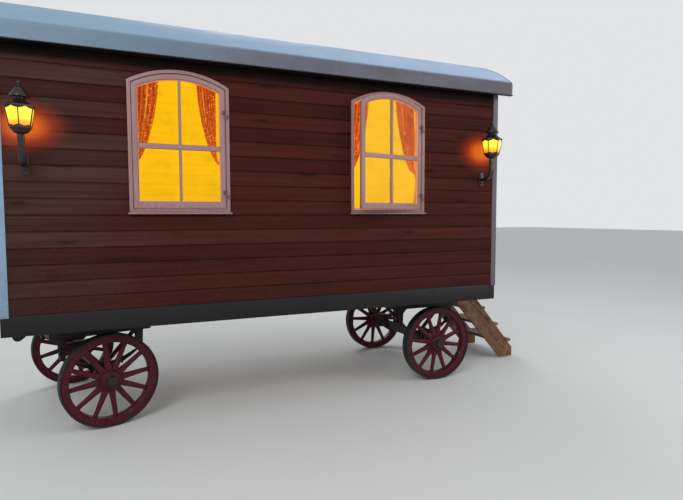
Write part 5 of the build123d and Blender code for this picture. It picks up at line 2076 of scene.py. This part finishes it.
@dataclass
class WagonWheel:
    """A wooden wheel: turned nave, tapered spokes, six felloes and a tyre band."""

    shop: Workshop
    name: str
    x: float
    steer: float
    side: Side
    phase: float
    tyre_t: float = 0.014
    tyre_w: float = 0.100
    felloe_h: float = 0.060
    felloe_w: float = 0.084
    spokes: int = 12
    felloes: int = 6
    nave_r: float = 0.088
    end_r: float = 0.066
    nave_l: float = 0.190
    cap_r: float = 0.046
    cap_l: float = 0.034
    spoke_in: float = 0.016
    spoke_w: float = 0.054
    spoke_d: float = 0.048
    spoke_slim: float = 0.016

    def place(self, points: np.ndarray) -> np.ndarray:
        """From the wheel's own middle to its axle end.

        The spoke phase turns it about its axle, the far wheel is turned half round, and the axle's own
        angle turns it about the kingpin.

        Args:
            points: Points about the wheel's middle.

        Returns:
            The points in place.
        """
        side = self.side.value
        faced = spun(points, self.phase, (0, 2)) * np.array([-side, -side, 1.0])
        return shifted(spun(shifted(faced, y=side * PLAN.half_track, z=PLAN.wheel_r), self.steer), self.x)

    def nave(self) -> Skin:
        """The turned nave, with seats for two hoops.

        Returns:
            The nave's skin.
        """
        half, n, end, front = self.nave_l / 2, self.nave_r, self.end_r, self.cap_l - self.nave_l / 2
        profile = [(0.0262, half - 0.002), (0.058, half), (end - 0.004, half - 0.001), (end, half - 0.005),
                   (end + 0.001, half - 0.018), (end + 0.0045, half - 0.020), (0.0745, 0.058), (0.0800, 0.050),
                   (0.0850, 0.042), (n, 0.034), (n, 0.0), (n, -0.034), (0.0850, -0.042), (0.0800, -0.047),
                   (0.0745, -0.052), (0.0705, front + 0.006), (end, front + 0.002), (0.060, front),
                   (0.0262, front)]
        edge = [0, 0.2, 0.8, 0.8, 0.3, 0.3, 0.1, 0.1, 0.2, 0.9, 0.1, 0.9, 0.2, 0.1, 0.1, 0.4, 0.9, 0.3, 0]
        return turned_form(profile, 56, Axis.Y, 0.45, edge)

    def hoops(self) -> Skin:
        """Iron hoops on the nave and the turned hub cap with its nut.

        Returns:
            Their skin.
        """
        skin, half, cap = Skin(), self.nave_l / 2, self.cap_r
        face = self.cap_l - half
        for low, high, r in ((half - 0.020, half - 0.003, 0.0690), (face + 0.001, face + 0.014, 0.0725)):
            ring = [(r - 0.006, low), (r, low + 0.001), (r + 0.001, (low + high) / 2), (r, high - 0.001),
                    (r - 0.006, high)]
            skin.join(hoop(*np.array(ring).T, 56, Axis.Y))
        profile = [(0.0262, face + 0.004), (0.049, face + 0.001), (0.050, face - 0.003), (cap, face - 0.006),
                   (cap - 0.001, 0.008 - half), (cap - 0.004, 0.002 - half), (cap - 0.010, -half),
                   (0.018, 0.0005 - half), (0.001, 0.0005 - half)]
        return skin.join(turned_form(profile, 48, Axis.Y, edge=[0, 0.5, 0.9, 0.2, 0.3, 1, 0.6, 0, 0]))

    def spoke(self, index: int) -> Skin:
        """One spoke, which narrows from the nave to the felloe.

        Its section is nearly square at both ends and oval between them: the power that bends it falls
        from about 7 to 2 and rises again at the felloe.

        Args:
            index: Its number round the wheel.

        Returns:
            Its skin.
        """
        root, tip = self.nave_r - self.spoke_in, PLAN.wheel_r - self.tyre_t - self.felloe_h + 0.0005
        r = np.concatenate([np.linspace(root, 0.125, 6), np.linspace(0.14, tip - 0.03, 12), [tip - 0.015, tip]])
        r = r[:, None]
        slim = self.spoke_slim * (r - root) / (tip - root)
        oval = np.clip((r - 0.105) / 0.05, 0.18, 1.0) * np.clip((tip + 0.02 - r) / 0.04, 0.35, 1.0)
        power, cos, sin = 8 - 6 * oval, np.cos(around(24)), np.sin(around(24))
        reach = (np.abs(cos) ** power + np.abs(sin) ** power) ** (-1 / power) / 2
        points = coords(r, (self.spoke_d - slim) * reach * sin, (self.spoke_w - slim) * reach * cos)
        tone = shade(index + round(abs(self.phase) * 100) + 7, 0.25, 0.75)
        grain = points + np.array([3.7, 3.7, 0.0]) * index
        return Skin().grid(spun(points, 2 * math.pi * index / self.spokes, (0, 2)), grain=grain, tone=tone,
                           edge=0.35)

    def felloe(self, index: int) -> Skin:
        """One felloe: a rounded section carried round its share of the rim, with stopped chamfers.

        A section point is a radius and a depth. Its inner corners are drawn in by a chamfer that grows
        between the spokes as the sine of the angle from one spoke to the next, and is nothing at them.

        Args:
            index: Its number round the wheel.

        Returns:
            Its skin.
        """
        outer, half = PLAN.wheel_r - self.tyre_t - 0.0003, self.felloe_w / 2
        inner, joint = outer - self.felloe_h, 0.0016 / outer
        share, gap = 2 * math.pi / self.felloes, 2 * math.pi / self.spokes
        angle = np.linspace(joint, share - joint, 31)[:, None] + (index + 0.25) * share
        chamfer = 0.003 + 0.010 * np.clip(np.sin(math.pi * (angle % gap) / gap) * 1.6 - 0.5, 0, 1)
        section = np.array([(outer, 0.003 - half, 0, 0), (outer - 0.003, -half, 0, 0), (inner, -half, 1, 0),
                            (inner, -half, 0, 1), (inner, half, 0, -1), (inner, half, 1, 0),
                            (outer - 0.003, half, 0, 0), (outer, half - 0.003, 0, 0)])
        r, y = (section[:, k] + section[:, k + 2] * chamfer for k in (0, 1))
        return Skin().grid(coords(r * np.cos(angle), y, r * np.sin(angle)), grain=coords(angle * outer, r, y),
                           tone=shade(index * 5 + 1, 0.3, 0.7), edge=[0.7, 0.7, 0.8, 0.8, 0.8, 0.8, 0.7, 0.7])

    def band(self) -> Skin:
        """The band round the rim, its edges rounded and its tread a little crowned.

        Returns:
            The band's skin.
        """
        r, half, t = PLAN.wheel_r, self.tyre_w / 2, self.tyre_t
        section = both_ways([(r - t, 0.001 - half), (r - t + 0.001, -half), (r - 0.004, -half),
                             (r - 0.001, 0.002 - half), (r, 0.006 - half)], (r, 0.0))
        return hoop(*np.array(section).T, 128, Axis.Y)

    def bolts(self) -> Skin:
        """Bolt heads inside the rim, on both sides of each felloe joint.

        Returns:
            Their skin.
        """
        inner = PLAN.wheel_r - self.tyre_t - self.felloe_h + 0.0005
        turns = (around(self.felloes) + math.pi / 6)[:, None] + np.array([-0.07, 0.07])
        outward = coords(np.cos(turns), 0.0, np.sin(turns)).reshape(-1, 3)
        return Skin().join(*(studs(out * inner, -out, 0.007, 0.004, 6) for out in outward))

    def build(self) -> None:
        """Builds the wheel's wood, iron and band."""
        body = f"wheel_{self.name}"
        wood = self.nave().join(*(self.spoke(k) for k in range(self.spokes)),
                                *(self.felloe(k) for k in range(self.felloes)))
        for word, skin, finish, node in (("wood", wood, MAROON, body),
                                         ("iron", self.hoops().join(self.bolts()), STEEL, body),
                                         ("band", self.band(), TYRE, f"tyre_{self.name}")):
            self.shop.piece(f"wheel_{word}_{self.name}", skin, finish, node, body, self.place)


@dataclass
class Carriage:
    """Frame, springs, axle, clamps and stays of one axle, about an upright line through its middle."""

    shop: Workshop
    name: str
    body: str
    x: float
    steer: float
    frame_top: float = 0.8305
    frame_s: float = 0.080
    half_x: float = 0.420
    half_y: float = 0.500
    spring_half: float = 0.320
    spring_top: float = 0.483
    camber: float = 0.105
    leaf_h: float = 0.009
    leaf_w: float = 0.060
    leaves: int = 5
    leaf_step: float = 0.17
    band_x: float = 0.16
    eye_r: float = 0.022
    axle_s: float = 0.080
    stay: float = 0.034
    stay_y: float = 0.300

    @property
    def eye_z(self) -> float:
        """Height of the springs' eyes."""
        return self.spring_top + self.camber - self.leaf_h / 2

    @property
    def spring_r(self) -> float:
        """Radius of the springs' upper face."""
        return (self.spring_half**2 + self.camber**2) / (2 * self.camber)

    def place(self, points: np.ndarray) -> np.ndarray:
        """From the axle's middle to the hut, turned by the axle's angle."""
        return shifted(spun(points, self.steer), self.x)

    def frame(self) -> Skin:
        """Rails, cross bars, spring ears and their bolts.

        Returns:
            The frame's skin.
        """
        s, top, skin = self.frame_s, self.frame_top, Skin()
        mid, foot, wide, out = top - s / 2, top - s + 0.004, self.eye_r + 0.006, self.leaf_w / 2 + 0.0063
        turn = np.linspace(math.pi, 2 * math.pi, 13)
        pin = both_ways([(0.001, -0.046), (0.011, -0.046), (0.012, -0.044), (0.012, -0.040), (0.008, -0.0398)])
        for y in (-self.half_y, self.half_y):
            skin.join(beam(Axis.X, (-self.half_x, self.half_x), (y, mid), s, s, 0.006, stations=10))
            for x in (-self.spring_half, self.spring_half):
                arc = coords(x + self.eye_r * np.cos(turn), self.eye_z + self.eye_r * np.sin(turn))
                outline = np.concatenate([arc, [(x + wide, foot), (x - wide, foot)]])
                skin.join(*(plate(outline, ear - 0.006, ear + 0.006, 0.0015) for ear in (y - out, y + out)),
                          turned_form(pin, 24, Axis.Y, at=(x, y, self.eye_z)))
        end = self.half_x - s / 2
        for x in (-end, 0.0, end):
            skin.join(beam(Axis.Y, (-self.half_y, self.half_y), (x, mid), s, s - 0.001, 0.006))
        corners = [(sx * end, sy * self.half_y, top) for sx in BOTH for sy in BOTH]
        return skin.join(studs(corners, (0, 0, 1), 0.010, 0.005, 6))

    def springs(self) -> Skin:
        """Each leaf as a thin strip along its own arc, rolled eyes on the longest, and bands.

        The leaf's arc is the springs' centre plus its radius times sine and cosine of an even share of
        its swing; the section is a rounded strip.

        Returns:
            The springs' skin.
        """
        skin, centre = Skin(), self.spring_top + self.spring_r
        ring, edge = rounded(self.leaf_w, self.leaf_h - 0.0006, 0.002, 3)
        eye = (np.array([0.0087, 0.0215, 0.022, 0.0215, 0.0087]),
               np.array([-0.0295, -0.0295, 0.0, 0.0295, 0.0295]))
        for y in (-self.half_y, self.half_y):
            for index in range(self.leaves):
                r = self.spring_r + (index + 0.5) * self.leaf_h
                swing = math.asin(self.spring_half * (1 - self.leaf_step * index) / r)
                a = np.linspace(-swing, swing, 33)[:, None]
                taper = np.clip((swing - np.abs(a)) * r / 0.03, 0.55, 1.0)
                reach = r + ring[:, 1] * taper
                points = coords(reach * np.sin(a), y + ring[:, 0] * taper, centre - reach * np.cos(a))
                skin.grid(points, tone=0.4 + 0.05 * index, edge=edge)
            for x in (-self.spring_half, self.spring_half):
                skin.join(hoop(*eye, 32, Axis.Y, (x, y, self.eye_z)))
            for x in (-self.band_x, self.band_x):
                z = centre - math.sqrt((self.spring_r + 0.012) ** 2 - x**2) - 0.008
                skin.join(beam(Axis.Y, (y - 0.033, y + 0.033), (x, z), 0.016, 0.040, 0.002, stations=3))
        return skin

    def axle(self) -> Skin:
        """Square beam with worn edges and round spindles.

        Returns:
            The axle's skin.
        """
        half, tip, z = PLAN.half_track - 0.101, PLAN.half_track + 0.061, PLAN.wheel_r
        spindle = both_ways([(0.001, -tip), (0.022, -tip), (0.025, -tip + 0.003)])
        return beam(Axis.Y, (-half, half), (0, z), self.axle_s, self.axle_s, 0.005, stations=16).join(
            turned_form(spindle, 28, Axis.Y, at=(0, 0, z)))

    def clamps(self) -> Skin:
        """Plates and four bolts with nuts on each spring.

        Returns:
            The clamps' skin.
        """
        skin, half_x, half_y = Skin(), self.axle_s / 2 + 0.014, self.leaf_w / 2 + 0.0143
        top = self.spring_top + self.spring_r - math.sqrt(self.spring_r**2 - half_x**2) + 0.0003
        low = PLAN.wheel_r - self.axle_s / 2 - 0.0003
        bolt = [(0.001, low - 0.011), (0.0065, low - 0.011), (0.0065, top + 0.018), (0.005, top + 0.0192),
                (0.001, top + 0.0192)]
        nut = [(0.001, 0.0116), (0.0105, 0.0116), (0.0115, 0.0125), (0.0115, 0.016), (0.0105, 0.017),
               (0.001, 0.017)]
        for y in (-self.half_y, self.half_y):
            for z in (top + 0.006, low - 0.006):
                skin.join(beam(Axis.X, (-half_x, half_x), (y, z), 2 * half_y, 0.0118, 0.002, stations=3))
            for x in (0.007 - half_x, half_x - 0.007):
                for bolt_y in (y + 0.007 - half_y, y - 0.007 + half_y):
                    skin.join(turned_form(bolt, 12, at=(x, bolt_y, 0)),
                              turned_form(nut, 6, at=(x, bolt_y, top)))
        return skin

    def stays(self) -> Skin:
        """Raking stays from the end bars down to the axle, with flattened feet.

        Returns:
            The stays' skin.
        """
        skin, low = Skin(), PLAN.wheel_r
        top = self.frame_top - self.frame_s + 0.001
        for side in BOTH:
            for end in BOTH:
                head, foot = end * (self.half_x - self.frame_s / 2), end * (self.axle_s + self.stay) / 2
                y = side * self.stay_y
                skin.join(bar((foot, y, low + 0.012), (head, y, top), self.stay, self.stay, 0.004, up=(0, 1, 0),
                              stations=6, seed=end + side + 4),
                          bar((foot, y, low - 0.030), (foot, y, low + 0.030), 0.044, 0.030, 0.003, up=(1, 0, 0),
                              stations=3))
        return skin

    def build_rest(self) -> None:
        """Builds the springs, axle, clamps and stays of this carriage."""
        for word, maker, finish in (("leaf_springs", self.springs, STEEL), ("axle", self.axle, STEEL),
                                    ("spring_clamps", self.clamps, STEEL), ("axle_stays", self.stays, MAROON)):
            node = f"{self.name}_{word}"
            self.shop.piece(f"{node}_dressed", maker(), finish, node, self.body, self.place)


@dataclass
class RunningGear:
    """Both carriages, the turntable, the drawbar bracket and the chassis above them."""

    shop: Workshop
    ring_r: float = 0.430
    ring_w: float = 0.070
    ring_t: float = 0.012
    ring_top: float = 0.855
    sill_bottom: float = 0.890
    bolster_w: float = 0.118
    bolster_gap: float = 0.23
    sill_w: float = 0.070
    sill_web: float = 0.012
    cross_w: float = 0.060
    arm_in: float = 0.050
    arm_out: float = 0.072
    eye_hole: float = 0.013
    tow_reach: float = 0.592
    tow_z: float = 0.726
    tow_r: float = 0.042
    tow_slope: float = math.radians(38)

    def plate_ring(self, low: float) -> Skin:
        """One turntable ring about the kingpin at a height, its edges eased.

        Args:
            low: Height of its lower face.

        Returns:
            The ring's skin.
        """
        outer, inner, t = self.ring_r, self.ring_r - self.ring_w, self.ring_t
        section = [(inner + 0.001, 0), (outer - 0.001, 0), (outer, 0.001), (outer, t - 0.001),
                   (outer - 0.001, t), (inner + 0.001, t), (inner, t - 0.001), (inner, 0.001)]
        return hoop(*np.array(section).T, 120, at=(0, 0, low))

    def upper(self) -> Skin:
        """Upper ring, bolsters between ring and chassis, and kingpin.

        Returns:
            Their skin.
        """
        skin = self.plate_ring(self.ring_top - self.ring_t)
        low, high, gap = self.ring_top, self.sill_bottom, self.bolster_gap
        for x in (-gap, 0.0, gap):
            skin.join(beam(Axis.Y, (-self.ring_r, self.ring_r), (x, (low + high) / 2), self.bolster_w,
                           high - low - 0.0005, 0.003))
        pin = [(0.001, 0.7205), (0.020, 0.7205), (0.022, 0.7225), (0.022, 0.889), (0.001, 0.889)]
        nut = [(0.024, 0.732), (0.036, 0.732), (0.038, 0.734), (0.038, 0.742), (0.036, 0.744), (0.0245, 0.744)]
        return skin.join(turned_form(pin, 32), turned_form(nut, 6))

    def tow_arms(self) -> Skin:
        """Two cranked arms with a round eye, and the web that joins them.

        An arm's outline runs from the front bar down a slope to a circle about the pin hole; the plate
        through it is pierced by the hole.

        Returns:
            Their skin.
        """
        slope, top, start = self.tow_slope, Carriage.frame_top, -Carriage.half_x - 0.0003
        low = top - Carriage.frame_s
        eye = np.array([-self.tow_reach, self.tow_z])
        rise = self.tow_r * np.array([-math.sin(slope), math.cos(slope)])
        knee, elbow = (x + (level - z) / math.tan(slope)
                       for (x, z), level in ((eye + rise, top), (eye - rise, low)))
        swing = np.linspace(math.pi / 2, 3 * math.pi / 2, 25) + slope
        outline = np.concatenate([[(start, top), ((start + knee) / 2, top), (knee, top)],
                                  eye + self.tow_r * coords(np.cos(swing), np.sin(swing)),
                                  [(elbow, low), ((start + elbow) / 2, low), (start, low),
                                   (start, (top + low) / 2)]])
        skin = Skin()
        for s in BOTH:
            faces = sorted((s * self.arm_in, s * self.arm_out))
            skin.join(plate(outline, *faces, 0.003, hole=(*eye, self.eye_hole)))
        skin.join(beam(Axis.Y, (-0.051, 0.051), (start - 0.007, (top + low) / 2), 0.0135, top - low - 0.001,
                       0.002, stations=3))
        for s in BOTH:
            bolts = [(start - 0.03, s * self.arm_out, z) for z in (0.77, 0.81)]
            skin.join(studs(bolts, (0, s, 0), 0.009, 0.005, 6))
        return skin

    def chassis(self) -> None:
        """Channel sills with their flanges inwards, cross members, and bolts through the web."""
        outer, low, high, web = PLAN.half_y - 0.010, self.sill_bottom, PLAN.board_z, self.sill_web
        inner, face = outer - self.sill_w, outer - web
        corners = [(outer, low), (outer, high), (inner, high), (inner, high - web), (face, high - web),
                   (face, low + web), (inner, low + web), (inner, low)]
        y, _, z, edge = smooth_ring(corners).T
        x = np.linspace(-PLAN.body_half, PLAN.body_half, 24)[:, None]
        sills, cross = Skin(), Skin()
        for side in BOTH:
            sills.grid(coords(x, side * y, z), edge=edge, tone=0.4)
            bolts = [(mid + off, side * outer, bolt_z) for mid in (-0.6, -1.5, 0.6, 1.5, 0.0)
                     for off in (-0.02, 0.02) for bolt_z in (0.92, 1.02)]
            sills.join(studs(bolts, (0, side, 0), 0.009, 0.005, 6))
        places = 0.6, PLAN.rear_axle_x - 0.23, PLAN.rear_axle_x + 0.23, PLAN.body_half - 0.03
        for bar_x in (0.0, *places, *(-place for place in places)):
            cross.join(beam(Axis.Y, (-inner, inner), (bar_x, (low + high) / 2), self.cross_w, high - low, 0.004,
                            tone=0.35))
        self.shop.piece("chassis_sills_dressed", sills, STEEL, "chassis_side_sills")
        self.shop.piece("chassis_cross_bars_dressed", cross, STEEL, "chassis_cross_members")

    def build(self) -> None:
        """Builds the running gear."""
        shop, pin_x, rear_x, steer = self.shop, PLAN.kingpin_x, PLAN.rear_axle_x, PLAN.steer
        self.chassis()
        front = Carriage(shop, "front", "front_carriage", pin_x, steer)
        rear = Carriage(shop, "rear", "hut", rear_x, 0.0)
        table = front.frame().join(self.plate_ring(front.frame_top))
        shop.piece("front_carriage_frame", table, STEEL, "front_turntable_frame", front.body, front.place)
        front.build_rest()
        shop.piece("drawbar_arms", self.tow_arms(), STEEL, "drawbar_bracket", front.body, front.place)
        shop.piece("turntable_upper", self.upper(), STEEL, "turntable_upper_and_kingpin",
                   move=lambda p: shifted(p, pin_x))
        frame, low, high = rear.frame(), rear.frame_top, self.sill_bottom
        for y in (-rear.half_y, rear.half_y):
            frame.join(beam(Axis.X, (-rear.half_x, rear.half_x), (y, (low + high) / 2), rear.frame_s,
                            high - low, 0.003, stations=6))
        shop.piece("rear_carriage_frame", frame, STEEL, "rear_axle_frame", move=rear.place)
        rear.build_rest()
        for end, x, turned, phases in (("front", pin_x, steer, (6.6, -13.0)),
                                       ("rear", rear_x, 0.0, (20.0, 4.0))):
            for side, phase in zip(Side, phases):
                WagonWheel(shop, f"{end}_{side.name.lower()}", x, turned, side, math.radians(phase)).build()


@dataclass
class Doorway:
    """The door end: frame, boarded door with panes and bars, knob and steps."""

    shop: Workshop
    width: float = 0.76
    height: float = 1.83
    frame_w: float = 0.045
    gap: float = 0.007
    thick: float = 0.045
    inset: float = 0.006
    pane_w: float = 0.42
    pane_h: float = 0.62
    pane_top: float = 0.15
    bar_w: float = 0.024
    boards: int = 6
    face: float = PLAN.end_face + 0.008
    hinges: tuple[float, ...] = (0.220, 0.915, 1.570)
    rise: float = 0.220
    going: float = 0.205
    tread: float = 0.230
    tread_t: float = 0.032
    flight_w: float = 0.760
    steps: int = 4
    stringer_t: float = 0.034

    def frame(self) -> Skin:
        """Posts and head round the doorway, and a doorstop.

        Returns:
            The frame's skin.
        """
        low, top, w = PLAN.floor_top, PLAN.floor_top + self.height, self.frame_w
        depth, mid, half = self.face - PLAN.end_in, (self.face + PLAN.end_in) / 2, (self.width + w) / 2
        skin, stop_x = Skin(), self.face - self.inset - self.thick - 0.0125
        for s in BOTH:
            skin.join(beam(Axis.Z, (low, top + w), (mid, s * half), depth, w - 0.0004, 0.003, stations=14,
                           seed=s + 3),
                      beam(Axis.Z, (low + 0.001, top), (stop_x, s * (self.width / 2 - 0.009)), 0.016, 0.018,
                           0.002))
        return skin.join(beam(Axis.Y, (0.02 - half, half - 0.02), (mid, top + w / 2), depth - 0.001, w - 0.001,
                              0.003, stations=6, seed=9))

    def leaf(self) -> Skin:
        """The door: stiles, rails and lower boards, with crossed bars over the panes.

        Returns:
            The door's skin.
        """
        low, high = PLAN.floor_top + self.gap, PLAN.floor_top + self.height - self.gap
        mid, t = self.face - self.inset - self.thick / 2, self.thick - 0.0005
        half, pane_half = self.width / 2 - self.gap, self.pane_w / 2
        pane_top = PLAN.floor_top + self.height - self.pane_top
        pane_low = pane_top - self.pane_h
        board, top, centre = 2 * half / self.boards, pane_low - 0.0895, (pane_top + pane_low) / 2
        skin = Skin()
        for s in BOTH:
            skin.join(beam(Axis.Z, (pane_low - 0.09, high), (mid, s * (half + pane_half) / 2), t,
                           half - pane_half, 0.003, stations=10, seed=s + 20))
        for z, tall in (((pane_top + high) / 2, high - pane_top), (pane_low - 0.045, 0.09)):
            skin.join(beam(Axis.Y, (-pane_half - 0.001, pane_half + 0.001), (mid, z), t - 0.001, tall, 0.003,
                           stations=5, tone=0.55, seed=int(z * 100)))
        for k in range(self.boards):
            y = (k + 0.5) * board - half
            skin.join(beam(Axis.Z, (low, top), (mid, y), t, board - 0.004, 0.005, stations=10,
                           tone=shade(k + 50, 0.35, 0.65), seed=k + 30),
                      beam(Axis.Z, (low + 0.002, top - 0.002), (mid - 0.004, y), t - 0.012, board, 0.001,
                           stations=3, tone=0.2))
        return skin.join(
            beam(Axis.Y, (-pane_half - 0.002, pane_half + 0.002), (mid, centre), t - 0.006, self.bar_w, 0.005,
                 stations=5, tone=0.6),
            beam(Axis.Z, (pane_low - 0.002, pane_top + 0.002), (mid, 0), t - 0.009, self.bar_w, 0.005,
                 stations=5, tone=0.6))

    def hinge_halves(self, moving: bool) -> Skin:
        """The fixed or the moving halves of the door's hinges.

        Args:
            moving: Whether they are the halves that turn.

        Returns:
            Their skin.
        """
        seat = self.face + 0.0012 - (self.inset if moving else 0.0)
        pin = self.face + 0.008, (self.width - self.gap) / 2
        return hinge_half(pin, seat, Axis.Y, [PLAN.floor_top + up for up in self.hinges], moving, screwed=False)

    def knob(self) -> Skin:
        """The turned knob and its rose.

        Returns:
            The knob's skin.
        """
        profile = [(0.001, 0.0), (0.0275, 0.0), (0.028, 0.002), (0.0265, 0.005), (0.014, 0.008),
                   (0.0105, 0.013), (0.0105, 0.030), (0.014, 0.034), (0.0215, 0.040), (0.0262, 0.048),
                   (0.0265, 0.055), (0.0235, 0.062), (0.0150, 0.0665), (0.001, 0.0680)]
        at = self.face - self.inset + 0.0003, self.gap + 0.060 - self.width / 2, PLAN.floor_top + 0.880
        return turned_form(profile, 40, Axis.X, at=at)

    def flight(self) -> tuple[Skin, Skin]:
        """Hook-on steps: the raked stringers and treads with rounded noses, and their two iron hooks.

        Returns:
            The skins of the wood and of the iron.
        """
        start, top = PLAN.body_half, PLAN.floor_top - self.rise
        end, high, near = start + (self.steps - 1) * self.going + self.tread, top + 0.020, start + 0.0005
        outline = np.array([(near, high), (start + self.tread * 0.75, high), (end, 0.122), (end, 0.012),
                            (end - self.tread * 0.8, 0.012), (near, high - 0.170)])
        wood, iron, inner = Skin(), Skin(), (self.flight_w - self.stringer_t) / 2
        run = unit([end - start, 0, 0.1 - high])
        for side in BOTH:
            y = side * inner
            stringer = plate(outline, y - self.stringer_t / 2, y + self.stringer_t / 2, 0.003, tone=0.4)
            stringer.grain = [coords(p @ run, p[:, 1], p @ np.array([-run[2], 0, run[0]]))
                              for p in stringer.points]
            wood.join(stringer)
            iron.join(beam(Axis.Z, (high - 0.058, high + 0.058), (start + 0.010, y), 0.019, 0.038, 0.003,
                           stations=4),
                      studs([(start + 0.01, y + side * 0.0195, high - d) for d in (0.04, 0.02)], (0, side, 0),
                            0.006, 0.003, 6))
        for index in range(self.steps):
            x, z = start + index * self.going, top - index * self.rise - self.tread_t / 2
            for half, (x0, x1) in enumerate(((0.004, 0.113), (0.117, self.tread))):
                seed = index * 2 + half
                wood.join(beam(Axis.Y, (-inner, inner), (x + (x0 + x1) / 2, z), x1 - x0, self.tread_t, 0.006,
                               stations=6, tone=shade(seed, 0.3, 0.8), seed=seed))
            wood.join(beam(Axis.Y, (-inner, inner), (x + 0.115, z - 0.003), 0.03, self.tread_t - 0.012, 0.002,
                           stations=3, tone=0.3))
        return wood, iron

    def build(self) -> None:
        """Builds the door end."""
        piece = self.shop.piece
        piece("door_frame_dressed", self.frame(), DOOR_PAINT, "door_frame")
        piece("door_leaf_dressed", self.leaf(), DOOR_PAINT, "door_leaf", "door")
        self.shop.refinish("door_glass", GLASS)
        piece("door_frame_hinges", self.hinge_halves(False), STEEL, "door_frame")
        piece("door_leaf_hinges", self.hinge_halves(True), STEEL, "door_leaf", "door")
        piece("door_knob_dressed", self.knob(), BRASS, "door_knob", "door")
        wood, iron = self.flight()
        piece("steps_boards", wood, STEP_BOARDS, "entrance_steps")
        piece("steps_hooks", iron, STEEL, "entrance_steps")


@dataclass(frozen=True)
class Lamp:
    """A large soft studio lamp."""

    name: str
    place: tuple[float, float, float]
    aim: tuple[float, float, float]
    size: float
    watts: float


@dataclass
class Studio:
    """Floor, backdrop light, lamps and the camera at the photograph's viewing angle."""

    eye: tuple[float, float, float] = (-1.5063 + PLAN.shift_x, -5.5610, 1.7846)
    yaw: float = math.radians(23.643)
    pitch: float = math.radians(3.663)
    roll: float = math.radians(-0.138)
    lens: float = 27.665
    world_strength: float = 0.62
    floor_half: float = 60.0
    lamps: tuple[Lamp, ...] = (
        Lamp("key", (-5.5, -8.0, 7.5), (0.0, 0.0, 1.6), 5.0, 420.0),
        Lamp("fill", (7.0, -6.5, 4.0), (0.0, 0.0, 1.4), 5.0, 160.0),
        Lamp("rim", (1.0, 8.0, 7.0), (0.0, 0.0, 2.0), 5.0, 220.0),
    )

    def camera(self) -> None:
        """Places the camera: forward from yaw and pitch, then right and up turned by the roll."""
        yaw, pitch, roll = self.yaw, self.pitch, self.roll
        forward = coords(math.sin(yaw) * math.cos(pitch), math.cos(yaw) * math.cos(pitch), -math.sin(pitch))
        level = coords(math.cos(yaw), -math.sin(yaw), 0.0)
        up = np.cross(level, forward)
        right, top = level * math.cos(roll) + up * math.sin(roll), up * math.cos(roll) - level * math.sin(roll)
        data = bpy.data.cameras.new("camera")
        data.lens, data.sensor_width, data.sensor_fit = self.lens, 36.0, "HORIZONTAL"
        data.clip_start, data.clip_end = 0.05, 200.0
        thing = shown("camera", data)
        thing.matrix_world = Matrix([*coords(right, top, -forward, self.eye).tolist(), (0, 0, 0, 1)])
        bpy.context.scene.camera = thing

    def floor(self) -> None:
        """A plain pale floor with faint mottling."""
        mesh, half = bpy.data.meshes.new("studio_floor"), self.floor_half
        mesh.from_pydata([(-half, -half, 0), (half, -half, 0), (half, half, 0), (-half, half, 0)], [],
                         [(0, 1, 2, 3)])
        material = bpy.data.materials.new("studio_floor")
        material.use_nodes = True
        graph = Graph(material.node_tree)
        inputs = material.node_tree.nodes["Principled BSDF"].inputs
        graph.put(inputs["Base Color"], graph.mix(graph.noise(graph.place(), 0.7, 3.0), (214, 214, 212),
                                                  (220, 220, 219)))
        graph.put(inputs["Roughness"], 0.9)
        mesh.materials.append(material)
        shown("studio_floor", mesh)

    def backdrop(self) -> None:
        """A pale world that is plain to the camera and in reflections, and soft light otherwise."""
        world = bpy.context.scene.world = bpy.data.worlds.new("studio")
        world.use_nodes = True
        graph, nodes = Graph(world.node_tree), world.node_tree.nodes
        light = nodes["Background"]
        graph.put(light.inputs["Color"], (0.93, 0.965, 1.0, 1.0))
        graph.put(light.inputs["Strength"], self.world_strength)
        seen = graph.add("ShaderNodeBackground", {"Color": rgb(226, 228, 230), "Strength": 1.0})
        path = graph.add("ShaderNodeLightPath").outputs
        direct = graph.math("MAXIMUM", path["Is Camera Ray"], path["Is Transmission Ray"])
        direct = graph.math("MAXIMUM", direct, path["Is Glossy Ray"])
        mixed = graph.add("ShaderNodeMixShader", {0: direct, 1: light.outputs[0], 2: seen.outputs[0]})
        graph.put(nodes["World Output"].inputs["Surface"], mixed.outputs[0])

    def lights(self) -> None:
        """Large soft lamps, each turned to its aim."""
        for lamp in self.lamps:
            data = bpy.data.lights.new(lamp.name, "AREA")
            data.energy, data.size, data.shape = lamp.watts, lamp.size, "DISK"
            thing = shown(lamp.name, data)
            thing.location = lamp.place
            thing.rotation_euler = (Vector(lamp.aim) - Vector(lamp.place)).to_track_quat("-Z", "Y").to_euler()

    def build(self) -> None:
        """Sets up the studio."""
        bpy.context.scene.view_settings.view_transform = "Standard"
        self.camera()
        self.floor()
        self.backdrop()
        self.lights()


def main() -> None:
    """Builds the dressed hut on its frame."""
    logging.basicConfig(level=logging.INFO, format="%(message)s")
    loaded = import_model()
    Studio().build()
    shop, window_x = Workshop(loaded), PLAN.window_x
    Cabin(shop).build()
    BarrelRoof(shop).build()
    windows = (("near_front", -window_x, Side.NEAR, 0.0, CURTAIN, 0.315),
               ("near_rear", window_x, Side.NEAR, math.radians(11), CURTAIN, 0.362),
               ("far_rear", window_x, Side.FAR, 0.0, FAR_CURTAIN, 0.385))
    for index, (name, x, side, opened, cloth, reach) in enumerate(windows):
        Casement(shop, name, x, side, opened).build()
        Curtains(shop, name, x, side, cloth, (0.42, reach), index * 4 + 3).build()
    for end, x in (("front", -PLAN.lantern_x), ("rear", PLAN.lantern_x)):
        for side in Side:
            WallLantern(shop, f"{end}_{side.name.lower()}", x, side).build()
    RunningGear(shop).build()
    Doorway(shop).build()
    bpy.context.view_layer.update()


if __name__ == "__main__":
    main()
